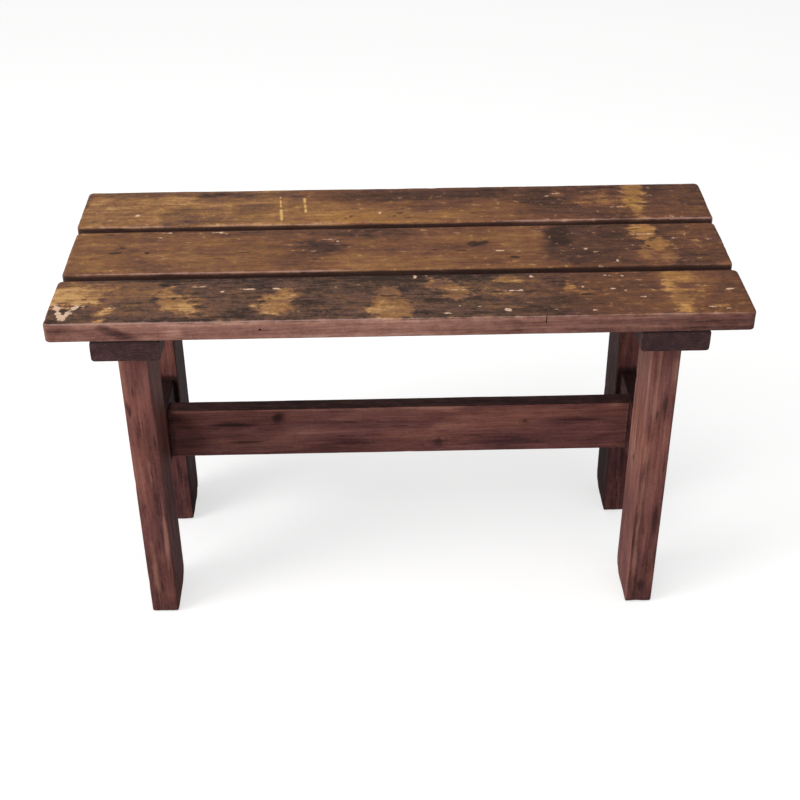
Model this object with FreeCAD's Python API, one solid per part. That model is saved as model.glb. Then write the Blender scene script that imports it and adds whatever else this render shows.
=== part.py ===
import FreeCAD, Part
import os

# Rustic bench: three seat boards on two trestle ends that a long stretcher ties together.
# X runs along the seat, the front faces -Y and Z is up, in millimetres.
# The origin is on the floor, under the middle of the seat.

# Seat boards, laid lengthwise with open gaps
seat_height = 450.0
board_thickness = 23.5
outer_board_width = 99.5
middle_board_width = 107.0
board_gap = 13.0
seat_length = 776.0
middle_board_shortfall = 2.0
rear_board_surplus = 4.0
board_corner_radius = 7.0
board_top_easing = 4.0
board_bottom_bevel = 1.5

# Cleats, flat across the underside of the seat
cleat_width = 77.0
cleat_overhang = 47.0
cleat_thickness = 26.5
cleat_setback = 2.0
cleat_easing = 4.0

# Legs, upright under each cleat
leg_thickness = 34.0
leg_width = 72.0
leg_stance = 260.0
leg_bevel = 2.0
foot_bevel = 3.0
heel_radius = 24.0
leg_tenon_thickness = 16.0
leg_tenon_width = 46.0

# Rails, low between the front and rear leg of each end
rail_thickness = 22.0
rail_height = 74.0
rail_bottom_height = 159.0
rail_easing = 1.5
rail_tenon_thickness = 12.0
rail_tenon_height = 52.0
rail_tenon_length = 32.0
glue_room = 1.0

# Stretcher, on edge between the rails, its bottom edge level with theirs
stretcher_thickness = 22.0
stretcher_height = 70.5
stretcher_easing = 1.5
stretcher_tenon_thickness = 12.0
stretcher_tenon_height = 44.0

# Wedges that spread the through tenons
wedge_top_thickness = 3.2
wedge_tip_thickness = 1.2
wedge_length = 16.0
kerf_tip_room = 1.5

# Countersunk wood screws, up through the cleats into the boards
screw_length = 42.0
screw_shank_diameter = 4.2
screw_head_diameter = 8.4
screw_head_height = 3.0
screw_slot_width = 1.2
screw_slot_depth = 1.3
screw_spread_share = 0.27

# Clearances
mortise_clearance = 0.15
wedge_clearance = 0.05
screw_clearance = 0.1
flush_clearance = 0.5
cut_overrun = 1.0
same_place = 0.001

# Heights and places that follow from the sizes above
board_bottom = seat_height - board_thickness
cleat_bottom = board_bottom - cleat_thickness
tenon_top = board_bottom - flush_clearance
seat_depth = 2 * outer_board_width + middle_board_width + 2 * board_gap
outer_board_y = (seat_depth - outer_board_width) / 2
cleat_length = seat_depth - 2 * cleat_setback
trestle_x = seat_length / 2 - cleat_overhang - cleat_width / 2
trestle_spacing = 2 * trestle_x
leg_y = (leg_stance - leg_width) / 2
leg_gap = leg_stance - 2 * leg_width
rail_middle_height = rail_bottom_height + rail_height / 2
stretcher_length = trestle_spacing - rail_thickness
stretcher_middle_height = rail_bottom_height + stretcher_height / 2
screw_row_offset = (leg_thickness + cleat_width) / 4

SIDES = {"left": -1, "right": 1}
ENDS = {"front": -1, "rear": 1}


def vec(x, y, z):
    return FreeCAD.Vector(x, y, z)


def block(size_x, size_y, size_z, x, y, bottom):
    """A box centred on x and y that stands at the height bottom."""
    return Part.makeBox(size_x, size_y, size_z, vec(x - size_x / 2, y - size_y / 2, bottom))


def upright_edges(shape):
    """The straight edges that run along Z."""
    found = []
    for edge in shape.Edges:
        box = edge.BoundBox
        if box.XLength < same_place and box.YLength < same_place:
            found.append(edge)
    return found


def level_edges(shape, height):
    """The edges that lie in the level plane at this height."""
    found = []
    for edge in shape.Edges:
        box = edge.BoundBox
        if abs(box.ZMin - height) < same_place and abs(box.ZMax - height) < same_place:
            found.append(edge)
    return found


def edges_along(shape, axis):
    """The straight edges that run along X, axis 0, or along Y, axis 1."""
    found = []
    for edge in shape.Edges:
        box = edge.BoundBox
        across = [box.XLength, box.YLength, box.ZLength]
        del across[axis]
        if max(across) < same_place:
            found.append(edge)
    return found


def seat_board(length, width, y):
    """A board with its corners rounded in plan, its top worn round and its underside bevelled."""
    board = block(length, width, board_thickness, 0, y, board_bottom)
    board = board.makeFillet(board_corner_radius, upright_edges(board))
    board = board.makeFillet(board_top_easing, level_edges(board, seat_height))
    board = board.makeChamfer(board_bottom_bevel, level_edges(board, board_bottom))
    for side in SIDES.values():
        for hole in screw_tools(side * trestle_x, y, width):
            board = board.cut(hole)
    return board


def screw_places(x, y, width):
    """Two screws in each crossing of a board and a cleat, set corner to corner."""
    spread = width * screw_spread_share
    return [(x - screw_row_offset, y - spread), (x + screw_row_offset, y + spread)]


def turned(points):
    """A solid of revolution about Z from an outline of radius and height."""
    outline = [vec(radius, 0, height) for radius, height in points]
    face = Part.Face(Part.makePolygon(outline + outline[:1]))
    return face.revolve(vec(0, 0, 0), vec(0, 0, 1), 360)


def screw():
    """A slotted countersunk screw with its head down, its underside at height zero."""
    shank = screw_shank_diameter / 2
    head = screw_head_diameter / 2
    body = turned([
        (0, 0),
        (head, 0),
        (shank, screw_head_height),
        (shank, screw_length),
        (0, screw_length),
    ])
    slot_length = screw_head_diameter + 2 * cut_overrun
    slot_height = screw_slot_depth + cut_overrun
    return body.cut(block(slot_length, screw_slot_width, slot_height, 0, 0, -cut_overrun))


def screw_hole():
    """What is drilled for a screw: a countersink and a pilot hole, with the clearance round it."""
    shank = screw_shank_diameter / 2 + screw_clearance
    head = screw_head_diameter / 2 + screw_clearance
    return turned([
        (0, -cut_overrun),
        (head, -cut_overrun),
        (head, 0),
        (shank, screw_head_height),
        (shank, screw_length + screw_clearance),
        (0, screw_length + screw_clearance),
    ])


def placed(shape, x, y, z):
    moved = shape.copy()
    moved.translate(vec(x, y, z))
    return moved


def screw_tools(x, y, width):
    return [placed(screw_hole(), sx, sy, cleat_bottom) for sx, sy in screw_places(x, y, width)]


def board_rows():
    """The name, length, width and place of each board, front to rear."""
    return [
        ("front", seat_length, outer_board_width, -outer_board_y),
        ("middle", seat_length - middle_board_shortfall, middle_board_width, 0),
        ("rear", seat_length + rear_board_surplus, outer_board_width, outer_board_y),
    ]


def seat_screws():
    """All the screws that hold the seat, as separate solids of one group."""
    group = []
    for side in SIDES.values():
        for name, length, width, y in board_rows():
            for sx, sy in screw_places(side * trestle_x, y, width):
                group.append(placed(screw(), sx, sy, cleat_bottom))
    return Part.makeCompound(group)


def cleat(side):
    """A flat cleat with a mortise over each leg and a countersunk hole for each screw."""
    x = side * trestle_x
    bar = block(cleat_width, cleat_length, cleat_thickness, x, 0, cleat_bottom)
    bar = bar.makeFillet(cleat_easing, edges_along(bar, 1))
    for end in ENDS.values():
        low = cleat_bottom - cut_overrun
        high = board_bottom + cut_overrun
        bar = bar.cut(leg_tenon(x, end * leg_y, mortise_clearance, low, high))
    for name, length, width, y in board_rows():
        for hole in screw_tools(x, y, width):
            bar = bar.cut(hole)
    return bar


def leg_tenon(x, y, room, bottom, top):
    """The tenon of a leg between two heights, or with room the mortise that takes it."""
    size_x = leg_tenon_thickness + 2 * room
    size_y = leg_tenon_width + 2 * room
    return block(size_x, size_y, top - bottom, x, y, bottom)


def wedge(width, room, tip_room):
    """A wedge driven down from the origin, its width along X, or with room its kerf."""
    top = wedge_top_thickness / 2 + room
    tip = wedge_tip_thickness / 2 + room
    depth = wedge_length + tip_room
    outline = [
        vec(-width / 2, -top, 0),
        vec(-width / 2, top, 0),
        vec(-width / 2, tip, -depth),
        vec(-width / 2, -tip, -depth),
    ]
    face = Part.Face(Part.makePolygon(outline + outline[:1]))
    return face.extrude(vec(width, 0, 0))


def leg_wedge(x, y, width, room, tip_room):
    return placed(wedge(width, room, tip_room), x, y, tenon_top)


def leg_profile(x, y):
    """The side of a leg as a face: bevelled at the front of its foot and worn round at the heel."""
    front = y - leg_width / 2
    rear = y + leg_width / 2
    middle = vec(x, rear - heel_radius, heel_radius)
    diagonal = heel_radius / 2 ** 0.5
    outline = [
        Part.makePolygon([
            vec(x, rear, heel_radius),
            vec(x, rear, cleat_bottom),
            vec(x, front, cleat_bottom),
            vec(x, front, foot_bevel),
            vec(x, front + foot_bevel, 0),
            vec(x, rear - heel_radius, 0),
        ]),
        Part.Arc(
            vec(x, rear - heel_radius, 0),
            middle + vec(0, diagonal, -diagonal),
            vec(x, rear, heel_radius),
        ).toShape(),
    ]
    return Part.Face(Part.Wire([edge for part in outline for edge in part.Edges]))


def rim_edges(shape, x, top):
    """The edges in the upright plane at x, without the one at the top."""
    found = []
    for edge in shape.Edges:
        box = edge.BoundBox
        in_plane = abs(box.XMin - x) < same_place and abs(box.XMax - x) < same_place
        if in_plane and box.ZMin < top - same_place:
            found.append(edge)
    return found


def leg(side, end):
    """A leg with planed arrises, a rounded heel, a wedged tenon and a mortise for the rail."""
    x = side * trestle_x
    y = end * leg_y
    inner, outer = x - leg_thickness / 2, x + leg_thickness / 2
    post = leg_profile(inner, y).extrude(vec(leg_thickness, 0, 0))
    arrises = rim_edges(post, inner, cleat_bottom) + rim_edges(post, outer, cleat_bottom)
    post = post.makeChamfer(leg_bevel, arrises)
    post = post.fuse(leg_tenon(x, y, 0, cleat_bottom, tenon_top)).removeSplitter()
    kerf_width = leg_tenon_thickness + 2 * cut_overrun
    post = post.cut(leg_wedge(x, y, kerf_width, wedge_clearance, kerf_tip_room))
    return post.cut(rail_tenons(x, mortise_clearance, glue_room))


def rail_tenons(x, room, tip_room):
    """Both tenons of a rail as one bar, or with room the mortises that take them."""
    length = leg_gap + 2 * (rail_tenon_length + tip_room)
    height = rail_tenon_height + 2 * room
    return block(rail_tenon_thickness + 2 * room, length, height, x, 0,
                 rail_middle_height - height / 2)


def stretcher_tenons(length, room):
    """Both tenons of the stretcher as one bar, or with room the mortises that take them."""
    height = stretcher_tenon_height + 2 * room
    return block(length, stretcher_tenon_thickness + 2 * room, height, 0, 0,
                 stretcher_middle_height - height / 2)


def rail(side):
    """A cross rail between two legs, tenoned into both, with a through mortise at its middle."""
    x = side * trestle_x
    bar = block(rail_thickness, leg_gap, rail_height, x, 0, rail_bottom_height)
    bar = bar.makeFillet(rail_easing, edges_along(bar, 1))
    bar = bar.fuse(rail_tenons(x, 0, 0)).removeSplitter()
    reach = trestle_spacing + rail_thickness + 2 * cut_overrun
    return bar.cut(stretcher_tenons(reach, mortise_clearance))


def stretcher_wedge(side, width, room, tip_room):
    """A wedge laid along X, driven into the end of the stretcher's tenon."""
    piece = wedge(width, room, tip_room)
    piece.rotate(vec(0, 0, 0), vec(0, 1, 0), side * 90)
    return placed(piece, side * (trestle_x + rail_thickness / 2), 0, stretcher_middle_height)


def stretcher():
    """The long stretcher, shouldered against both rails, its tenons through them and wedged."""
    bar = block(stretcher_length, stretcher_thickness, stretcher_height, 0, 0, rail_bottom_height)
    bar = bar.makeFillet(stretcher_easing, edges_along(bar, 0))
    bar = bar.fuse(stretcher_tenons(trestle_spacing + rail_thickness, 0)).removeSplitter()
    kerf_width = stretcher_tenon_height + 2 * cut_overrun
    for side in SIDES.values():
        bar = bar.cut(stretcher_wedge(side, kerf_width, wedge_clearance, kerf_tip_room))
    return bar


def leg_wedges():
    """The wedge in each leg's tenon, across the grain of the cleat."""
    group = []
    for side in SIDES.values():
        for end in ENDS.values():
            group.append(leg_wedge(side * trestle_x, end * leg_y, leg_tenon_thickness, 0, 0))
    return Part.makeCompound(group)


def stretcher_wedges():
    group = [stretcher_wedge(side, stretcher_tenon_height, 0, 0) for side in SIDES.values()]
    return Part.makeCompound(group)


def build():
    """Every piece of the bench under its node's name."""
    pieces = {}
    for name, length, width, y in board_rows():
        pieces["seat_board_" + name] = seat_board(length, width, y)
    for side_name, side in SIDES.items():
        pieces["cleat_" + side_name] = cleat(side)
        pieces["rail_" + side_name] = rail(side)
        for end_name, end in ENDS.items():
            pieces["leg_" + end_name + "_" + side_name] = leg(side, end)
    pieces["stretcher"] = stretcher()
    pieces["leg_wedges"] = leg_wedges()
    pieces["stretcher_wedges"] = stretcher_wedges()
    pieces["seat_screws"] = seat_screws()
    return pieces


os.makedirs("parts", exist_ok=True)
for node, shape in build().items():
    shape.exportStep("parts/" + node + ".step")
    print(node, len(shape.Solids), round(shape.Volume), shape.isValid())
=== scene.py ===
import itertools
import math

import bpy
import numpy as np
from mathutils import Matrix, Vector


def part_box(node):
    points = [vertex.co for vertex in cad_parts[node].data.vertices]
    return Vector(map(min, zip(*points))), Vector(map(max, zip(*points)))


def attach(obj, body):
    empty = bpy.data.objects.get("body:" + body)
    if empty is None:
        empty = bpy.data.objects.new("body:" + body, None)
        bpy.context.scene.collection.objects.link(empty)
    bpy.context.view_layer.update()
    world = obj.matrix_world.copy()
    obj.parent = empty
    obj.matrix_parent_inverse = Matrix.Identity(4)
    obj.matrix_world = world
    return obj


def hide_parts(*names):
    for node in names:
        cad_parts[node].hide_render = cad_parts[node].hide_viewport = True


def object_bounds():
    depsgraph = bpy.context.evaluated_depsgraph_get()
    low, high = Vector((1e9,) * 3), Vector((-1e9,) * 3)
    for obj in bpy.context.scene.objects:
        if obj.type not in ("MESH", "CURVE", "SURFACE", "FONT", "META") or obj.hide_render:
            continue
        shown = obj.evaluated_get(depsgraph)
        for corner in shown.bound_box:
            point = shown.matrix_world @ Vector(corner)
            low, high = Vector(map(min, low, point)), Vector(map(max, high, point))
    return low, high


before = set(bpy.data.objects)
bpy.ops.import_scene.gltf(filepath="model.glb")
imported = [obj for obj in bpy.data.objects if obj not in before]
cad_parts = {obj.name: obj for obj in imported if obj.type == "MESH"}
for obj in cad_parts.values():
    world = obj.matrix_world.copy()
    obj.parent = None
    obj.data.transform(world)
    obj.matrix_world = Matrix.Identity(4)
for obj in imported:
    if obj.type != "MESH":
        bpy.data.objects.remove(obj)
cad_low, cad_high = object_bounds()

# The looks of a worn rustic bench: three stained seat boards on two trestle ends and a stretcher.
# Everything is in metres. X runs along the seat, the front faces -Y and Z is up.
MM = 0.001
X, Y, Z = 0, 1, 2
TINY = 1e-12
NEAR = 0.01 * MM

# Joints of the frame, as cut in the wood
LEG_TENON = (16 * MM, 46 * MM)
RAIL_TENON = (12 * MM, 52 * MM)
STRETCHER_TENON = (12 * MM, 44 * MM)
STRETCHER_BODY = (22 * MM, 70.5 * MM)
JOINT_ROOM = 0.15 * MM
RAIL_MORTISE_TIP_ROOM = 1 * MM
KERF_WIDTH = 3.3 * MM
KERF_DEPTH = 17.5 * MM
OVERSHOOT = 1 * MM

# Countersinks under the cleats
COUNTERSINK_ROOM = 0.1 * MM
SCREW_HEAD_RADIUS = 4.2 * MM
SCREW_SHANK_RADIUS = 2.1 * MM
SCREW_HEAD_HEIGHT = 3 * MM
SCREW_LENGTH = 42 * MM
SCREW_SPREAD_SHARE = 0.27
COUNTERSINK_SIDES = 32

# Spacing of the points on the wood: close at the edges, wider between them
EDGE_OFFSETS = (0, 0.5 * MM, 1.2 * MM, 2.1 * MM, 3.3 * MM, 4.8 * MM, 7 * MM)
STEP_ALONG = 4 * MM
STEP_ACROSS = 2.2 * MM
BOARD_STEP_ALONG = 2 * MM
BOARD_STEP_ACROSS = 1.6 * MM
LINE_CLEARANCE = 0.35 * MM
SHARP_ANGLE = math.radians(38)

# Rounding of the edges, and how much and how often wear changes it
BOARD_CORNER = 7 * MM
BOARD_TOP_ARRIS = 4.2 * MM
BOARD_LOW_ARRIS = 1.6 * MM
FRAME_ARRIS = 1.8 * MM
LEG_ARRIS = 2.4 * MM
FOOT_ARRIS = 5.5 * MM
HEEL_RADIUS = 24 * MM
CLEAT_ARRIS = 4 * MM
CLEAT_END_ARRIS = 1.2 * MM
ARRIS_CHANGE_SHARE = 0.35
ARRIS_CHANGE_LENGTH = 45 * MM

# Slow waves and raised grain: lengths along and across the grain, and depth
WAVES = (190 * MM, 46 * MM, 0.35 * MM)
RIDGES = (90 * MM, 5 * MM, 0.16 * MM)
# What is added to the seed of a piece for each noise on its shape and its stain
SEED_STEPS = {
    "ridges": 7, "low_arris": 3, "foot": 5, "wander_x": 11, "wander_y": 17, "wander_z": 19,
    "checks": 23, "ragged": 31, "drift": 2,
}
# Dents on each piece: their number, and the range of their sizes and depths in millimetres
DENTS = 26
DENT_SIZES = (3, 8)
DENT_DEPTHS = (0.15, 0.6)

# Whole numbers that scramble a lattice point into a random value
SCRAMBLE = (73856093, 19349663, 83492791, 2654435761, 1274126177)
SCRAMBLE_SHIFTS = (13, 8)
SCRAMBLE_BITS = 0xFFFF


def lattice_noise(points, seed):
    """A smooth random value from -1 to 1 for each point, changing about once a unit."""
    base = np.floor(points).astype(np.int64)
    part = points - base
    ease = part * part * (3 - 2 * part)
    total = np.zeros(len(points))
    for corner in itertools.product((0, 1), repeat=3):
        cell = base + np.array(corner)
        mixed = np.full(len(points), seed * SCRAMBLE[3], np.int64)
        for axis in (X, Y, Z):
            mixed ^= cell[:, axis] * SCRAMBLE[axis]
        mixed = (mixed ^ (mixed >> SCRAMBLE_SHIFTS[0])) * SCRAMBLE[4]
        value = ((mixed >> SCRAMBLE_SHIFTS[1]) & SCRAMBLE_BITS) / SCRAMBLE_BITS * 2 - 1
        weight = np.prod(np.where(np.array(corner) == 1, ease, 1 - ease), axis=1)
        total += weight * value
    return total


def rough_noise(points, seed, layers=3):
    """Noise with finer layers added, each half as strong as the one before."""
    total = np.zeros(len(points))
    for layer in range(layers):
        total += lattice_noise(points * 2 ** layer, seed + layer) / 2 ** layer
    return total / (2 - 2 ** (1 - layers))


def smooth_step(low, high, value):
    share = np.clip((value - low) / (high - low), 0, 1)
    return share * share * (3 - 2 * share)


def grid_lines(low, high, step, marks=()):
    """Grid lines from low to high, close together at both ends, with a line at every mark."""
    inner = [offset for offset in EDGE_OFFSETS if offset < (high - low) / 2 - step / 2]
    count = max(1, round((high - low - 2 * inner[-1]) / step))
    between = np.linspace(low + inner[-1], high - inner[-1], count + 1)[1:-1]
    found = [low + offset for offset in inner] + list(between) + [high - offset for offset in inner]
    for mark in marks:
        found = [line for line in found if abs(line - mark) > LINE_CLEARANCE or line in (low, high)]
    return np.array(sorted(set(found) | set(marks)))


def cell_surface(lines, filled):
    """The closed surface of the filled cells of a grid, as points and four-sided faces."""
    shape = [len(row) for row in lines]
    cells = np.zeros([size + 1 for size in shape], bool)
    cells[1:-1, 1:-1, 1:-1] = filled
    faces = []
    for axis in (X, Y, Z):
        a, b = (axis + 1) % 3, (axis + 2) % 3
        turned_cells = np.transpose(cells, (axis, a, b))
        below, above = turned_cells[:-1, 1:-1, 1:-1], turned_cells[1:, 1:-1, 1:-1]
        loop = [(0, 0), (1, 0), (1, 1), (0, 1)]
        for wall, order in ((below & ~above, loop), (above & ~below, loop[::-1])):
            i, j, k = np.nonzero(wall)
            corners = []
            for along_a, along_b in order:
                index = [None, None, None]
                index[axis], index[a], index[b] = i, j + along_a, k + along_b
                corners.append(np.ravel_multi_index(index, shape))
            faces.append(np.stack(corners, axis=1))
    used, faces = np.unique(np.concatenate(faces), return_inverse=True)
    index = np.unravel_index(used, shape)
    points = np.stack([lines[axis][index[axis]] for axis in (X, Y, Z)], axis=1)
    return points, faces.reshape(-1, 4)


def cells_in(lines, low, high):
    """Which cells of a grid have their middle inside a box."""
    inside = []
    for axis in (X, Y, Z):
        middle = (lines[axis][1:] + lines[axis][:-1]) / 2
        inside.append((middle > low[axis]) & (middle < high[axis]))
    return inside[X][:, None, None] & inside[Y][:, None] & inside[Z]


def point_normals(points, faces):
    """The outward direction at each point, averaged over the faces that meet there."""
    corners = points[faces]
    area = np.cross(corners[:, 2] - corners[:, 0], corners[:, 3] - corners[:, 1])
    normals = np.zeros_like(points)
    for side in range(4):
        np.add.at(normals, faces[:, side], area)
    return normals / np.maximum(np.linalg.norm(normals, axis=1, keepdims=True), TINY)


def depth_in_box(points, low, high):
    """How far each point lies inside the faces of a box, for each axis."""
    return np.minimum(points - low, high - points)


def eased(points, low, high, axis, corner, low_arris, high_arris):
    """Rounds a block: the four edges along the axis by corner, and the rim at each end by its arris."""
    a, b = [other for other in (X, Y, Z) if other != axis]
    points = points.copy()
    middle, half = (low + high) / 2, (high - low) / 2
    flat = points[:, [a, b]] - middle[[a, b]]
    side = np.where(flat < 0, -1, 1)
    depth = half[[a, b]] - np.abs(flat)
    corner = np.broadcast_to(corner, len(points))[:, None]
    into = np.clip(corner - depth, 0, None)
    both = (into > 0).all(axis=1)
    length = np.maximum(np.linalg.norm(into, axis=1), TINY)
    shrink = np.where(both, into.max(axis=1) / length, 1)
    rounded = np.where(into > 0, half[[a, b]] - corner + into * shrink[:, None], np.abs(flat))
    nearest = (depth == depth.min(axis=1, keepdims=True)).astype(float)
    nearest /= np.linalg.norm(nearest, axis=1, keepdims=True)
    outward = side * np.where(both[:, None], into / length[:, None], nearest)
    flat = side * rounded
    rim = depth.min(axis=1)
    for arris, sign, end in ((low_arris, 1, low), (high_arris, -1, high)):
        height = sign * (points[:, axis] - end[axis])
        in_plan = np.clip(arris - rim, 0, None)
        in_height = np.clip(arris - height, 0, None)
        hit = (in_plan > 0) & (in_height > 0) & (rim > -NEAR) & (height > -NEAR)
        reach = np.maximum(np.hypot(in_plan, in_height), TINY)
        shrink = np.where(hit, np.maximum(in_plan, in_height) / reach, 1)
        flat -= outward * (in_plan * (1 - shrink))[:, None]
        points[:, axis] += sign * in_height * (1 - shrink)
    points[:, [a, b]] = middle[[a, b]] + flat
    return points


def changing(size, points, seed):
    """A rounding radius that wear has changed a little from place to place."""
    change = rough_noise(points / ARRIS_CHANGE_LENGTH, seed)
    return size * (1 + ARRIS_CHANGE_SHARE * change)


def along_grain(points, axis, along, across):
    """Points scaled so that noise on them is long with the grain and narrow across it."""
    size = np.full(3, across)
    size[axis] = along
    return points / size


def weathered(points, faces, axis, keep, seed):
    """Pulls the surface in: slow waves, raised grain and a few dents. Keep is 0 where it stays."""
    depth = np.zeros(len(points))
    for seed_step, (along, across, deep) in ((0, WAVES), (SEED_STEPS["ridges"], RIDGES)):
        noise = rough_noise(along_grain(points, axis, along, across), seed + seed_step)
        depth += deep * (0.5 + 0.5 * noise)
    random = np.random.default_rng(seed)
    for chosen in random.choice(len(points), DENTS, replace=False):
        size = random.uniform(*DENT_SIZES) * MM
        deep = random.uniform(*DENT_DEPTHS) * MM
        away = np.linalg.norm(points - points[chosen], axis=1)
        depth += deep * np.exp(-(away / size) ** 2)
    return points - point_normals(points, faces) * (depth * keep)[:, None]


def make_piece(name, points, faces, fields):
    """A mesh object of the bench, with one number at each point for every named field."""
    mesh = bpy.data.meshes.new(name)
    mesh.from_pydata(points.tolist(), [], faces.tolist())
    for field, values in fields.items():
        layer = mesh.attributes.new(field, "FLOAT", "POINT")
        layer.data.foreach_set("value", np.asarray(values, np.float32))
    mesh.polygons.foreach_set("use_smooth", [True] * len(mesh.polygons))
    mesh.set_sharp_from_angle(angle=SHARP_ANGLE)
    mesh.update()
    return linked(name, mesh)


def linked(name, data):
    """A new object in the scene that holds a mesh, lamp or camera."""
    made = bpy.data.objects.new(name, data)
    bpy.context.scene.collection.objects.link(made)
    return made


def node_box(node):
    low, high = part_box(node)
    return np.array(low), np.array(high)


def turned(x, y, middle_x, middle_y, turn=0):
    """Places measured from the middle of a mark, along and across it, with its turn in degrees."""
    cosine, sine = math.cos(math.radians(turn)), math.sin(math.radians(turn))
    x, y = x - middle_x, y - middle_y
    return x * cosine + y * sine, y * cosine - x * sine


def inside_blob(x, y, half_x, half_y, *middle_and_turn):
    """How deep each place lies inside a rounded patch, less than 0 outside it, all in one unit."""
    along, across = turned(x, y, *middle_and_turn)
    reach = np.abs(along / half_x) ** BLOB_POWER + np.abs(across / half_y) ** BLOB_POWER
    return (1 - reach ** (1 / BLOB_POWER)) * min(half_x, half_y)


def stained(field, x, y, strokes, ragged):
    """Lays soft patches over a field, each with its own level and its own width of fade."""
    for middle_x, middle_y, half_x, half_y, level, fade, *turn in strokes:
        inside = inside_blob(x, y, half_x, half_y, middle_x, middle_y, *turn)
        field = field + (level - field) * smooth_step(-1, 1, inside / fade + ragged)
    return field


def worn(x, y, patches):
    """Patches worn through the stain: how deep each place is inside one, and its level of bare wood."""
    deep = np.full(len(x), -WORN_REACH)
    bare = np.full(len(x), BARE_LEVEL)
    for middle_x, middle_y, half_x, half_y, level, *turn in patches:
        inside = inside_blob(x, y, half_x, half_y, middle_x, middle_y, *turn)
        deep = np.maximum(deep, inside)
        bare = bare + (level - bare) * smooth_step(-BARE_FADE, BARE_FADE, inside)
    return np.clip(0.5 + deep / (2 * WORN_REACH), 0, 1), bare


def spots(x, y, marks, stretch=(1, 1)):
    """1 in the middle of each mark, falling to 0 a little beyond its rim."""
    found = np.zeros(len(x))
    for middle_x, middle_y, half_x, half_y, *turn in marks:
        along, across = turned(x, y, middle_x, middle_y, *turn)
        away = np.hypot(along / (half_x * stretch[0]), across / (half_y * stretch[1]))
        found = np.maximum(found, np.clip(SPOT_CORE - SPOT_FALL * away, 0, 1))
    return found


# Patches and marks are a middle and half sizes in millimetres, and where a patch or mark is turned,
# its turn in degrees at the end. A patch has its level of stain after its half sizes.
# Level 0 is the darkest stain and level 1 bare golden wood.
BLOB_POWER = 2.4
WORN_REACH = 12
BARE_LEVEL = 0.7
BARE_FADE = 5
SPOT_CORE = 1.4
SPOT_FALL = 0.8

# Soft changes of the stain on the top of each board. The number after the level is the width of the fade.
TOP_BASE = {"front": 0.24, "middle": 0.50, "rear": 0.27}
TOP_STAIN = {
    "rear": [
        (-125, 97, 285, 44, 0.65, 12), (-328, 120, 76, 33, 0.76, 12), (-70, 84, 105, 17, 0.77, 10),
        (-170, 108, 20, 13, 0.48, 7, 10), (-168, 148, 18, 8, 0.62, 6), (-268, 88, 20, 27, 0.42, 8, 10),
        (-393, 140, 9, 24, 0.24, 5), (-128, 128, 13, 12, 0.42, 5), (-190, 162, 190, 6, 0.48, 5),
        (-102, 155, 46, 7, 0.40, 5), (-158, 130, 38, 10, 0.74, 6), (42, 143, 112, 17, 0.15, 8, 2),
        (40, 110, 62, 13, 0.31, 9), (128, 84, 34, 15, 0.50, 10), (192, 84, 32, 12, 0.27, 8),
        (188, 128, 30, 26, 0.15, 8), (250, 120, 28, 24, 0.40, 8), (205, 138, 8, 6, 0.50, 4),
        (330, 146, 16, 20, 0.16, 8), (345, 84, 56, 15, 0.42, 9), (372, 106, 22, 12, 0.38, 8),
    ],
    "middle": [
        (-270, 0, 150, 60, 0.55, 22), (-303, 12, 13, 24, 0.46, 9), (-330, -42, 55, 12, 0.48, 12),
        (-296, -28, 26, 11, 0.38, 8), (-330, 6, 44, 26, 0.60, 12), (-205, -12, 40, 14, 0.55, 10),
        (-228, 46, 62, 9, 0.28, 6), (-60, 44, 110, 13, 0.22, 7), (-120, 18, 34, 20, 0.36, 9),
        (2, 30, 40, 17, 0.28, 8), (-108, -28, 38, 16, 0.34, 8), (-176, 22, 26, 12, 0.44, 8),
        (-84, 0, 24, 18, 0.16, 12, 15), (2, -30, 82, 15, 0.61, 9), (72, 16, 46, 20, 0.52, 10),
        (38, -10, 44, 1.6, 0.44, 2, -3), (150, 0, 28, 54, 0.58, 7), (290, 0, 118, 66, 0.23, 5),
        (195, 24, 18, 26, 0.02, 7), (212, -30, 38, 16, 0.12, 8), (245, 20, 24, 12, 0.10, 8),
        (303, -32, 24, 24, 0.46, 8, -20), (355, 4, 34, 34, 0.32, 10), (366, 45, 22, 9, 0.42, 6),
    ],
    "front": [
        (-350, -98, 64, 32, 0.50, 11), (-292, -92, 45, 16, 0.53, 10), (-318, -143, 52, 19, 0.30, 8),
        (-258, -84, 18, 9, 0.12, 6), (-185, -120, 30, 36, 0.24, 12), (-172, -148, 15, 12, 0.06, 6),
        (-75, -112, 38, 36, 0.20, 9), (-70, -149, 26, 9, 0.36, 6), (-20, -78, 90, 10, 0.10, 6),
        (-165, -70, 120, 7, 0.08, 4), (46, -74, 68, 13, -0.06, 4), (4, -94, 20, 14, 0.02, 5),
        (-50, -99, 28, 11, 0.13, 7), (-366, -143, 32, 16, 0.08, 5), (56, -142, 34, 18, 0.20, 8),
        (220, -100, 100, 36, 0.31, 18), (165, -138, 34, 13, 0.11, 9), (320, -120, 100, 56, 0.33, 22),
        (324, -92, 32, 26, 0.60, 9, -8), (318, -130, 22, 28, 0.42, 9), (186, -92, 16, 12, 0.10, 6),
        (193, -108, 7, 10, 0.46, 4, -10), (250, -116, 34, 12, 0.40, 8), (372, -120, 14, 40, 0.38, 8),
    ],
}

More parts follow.
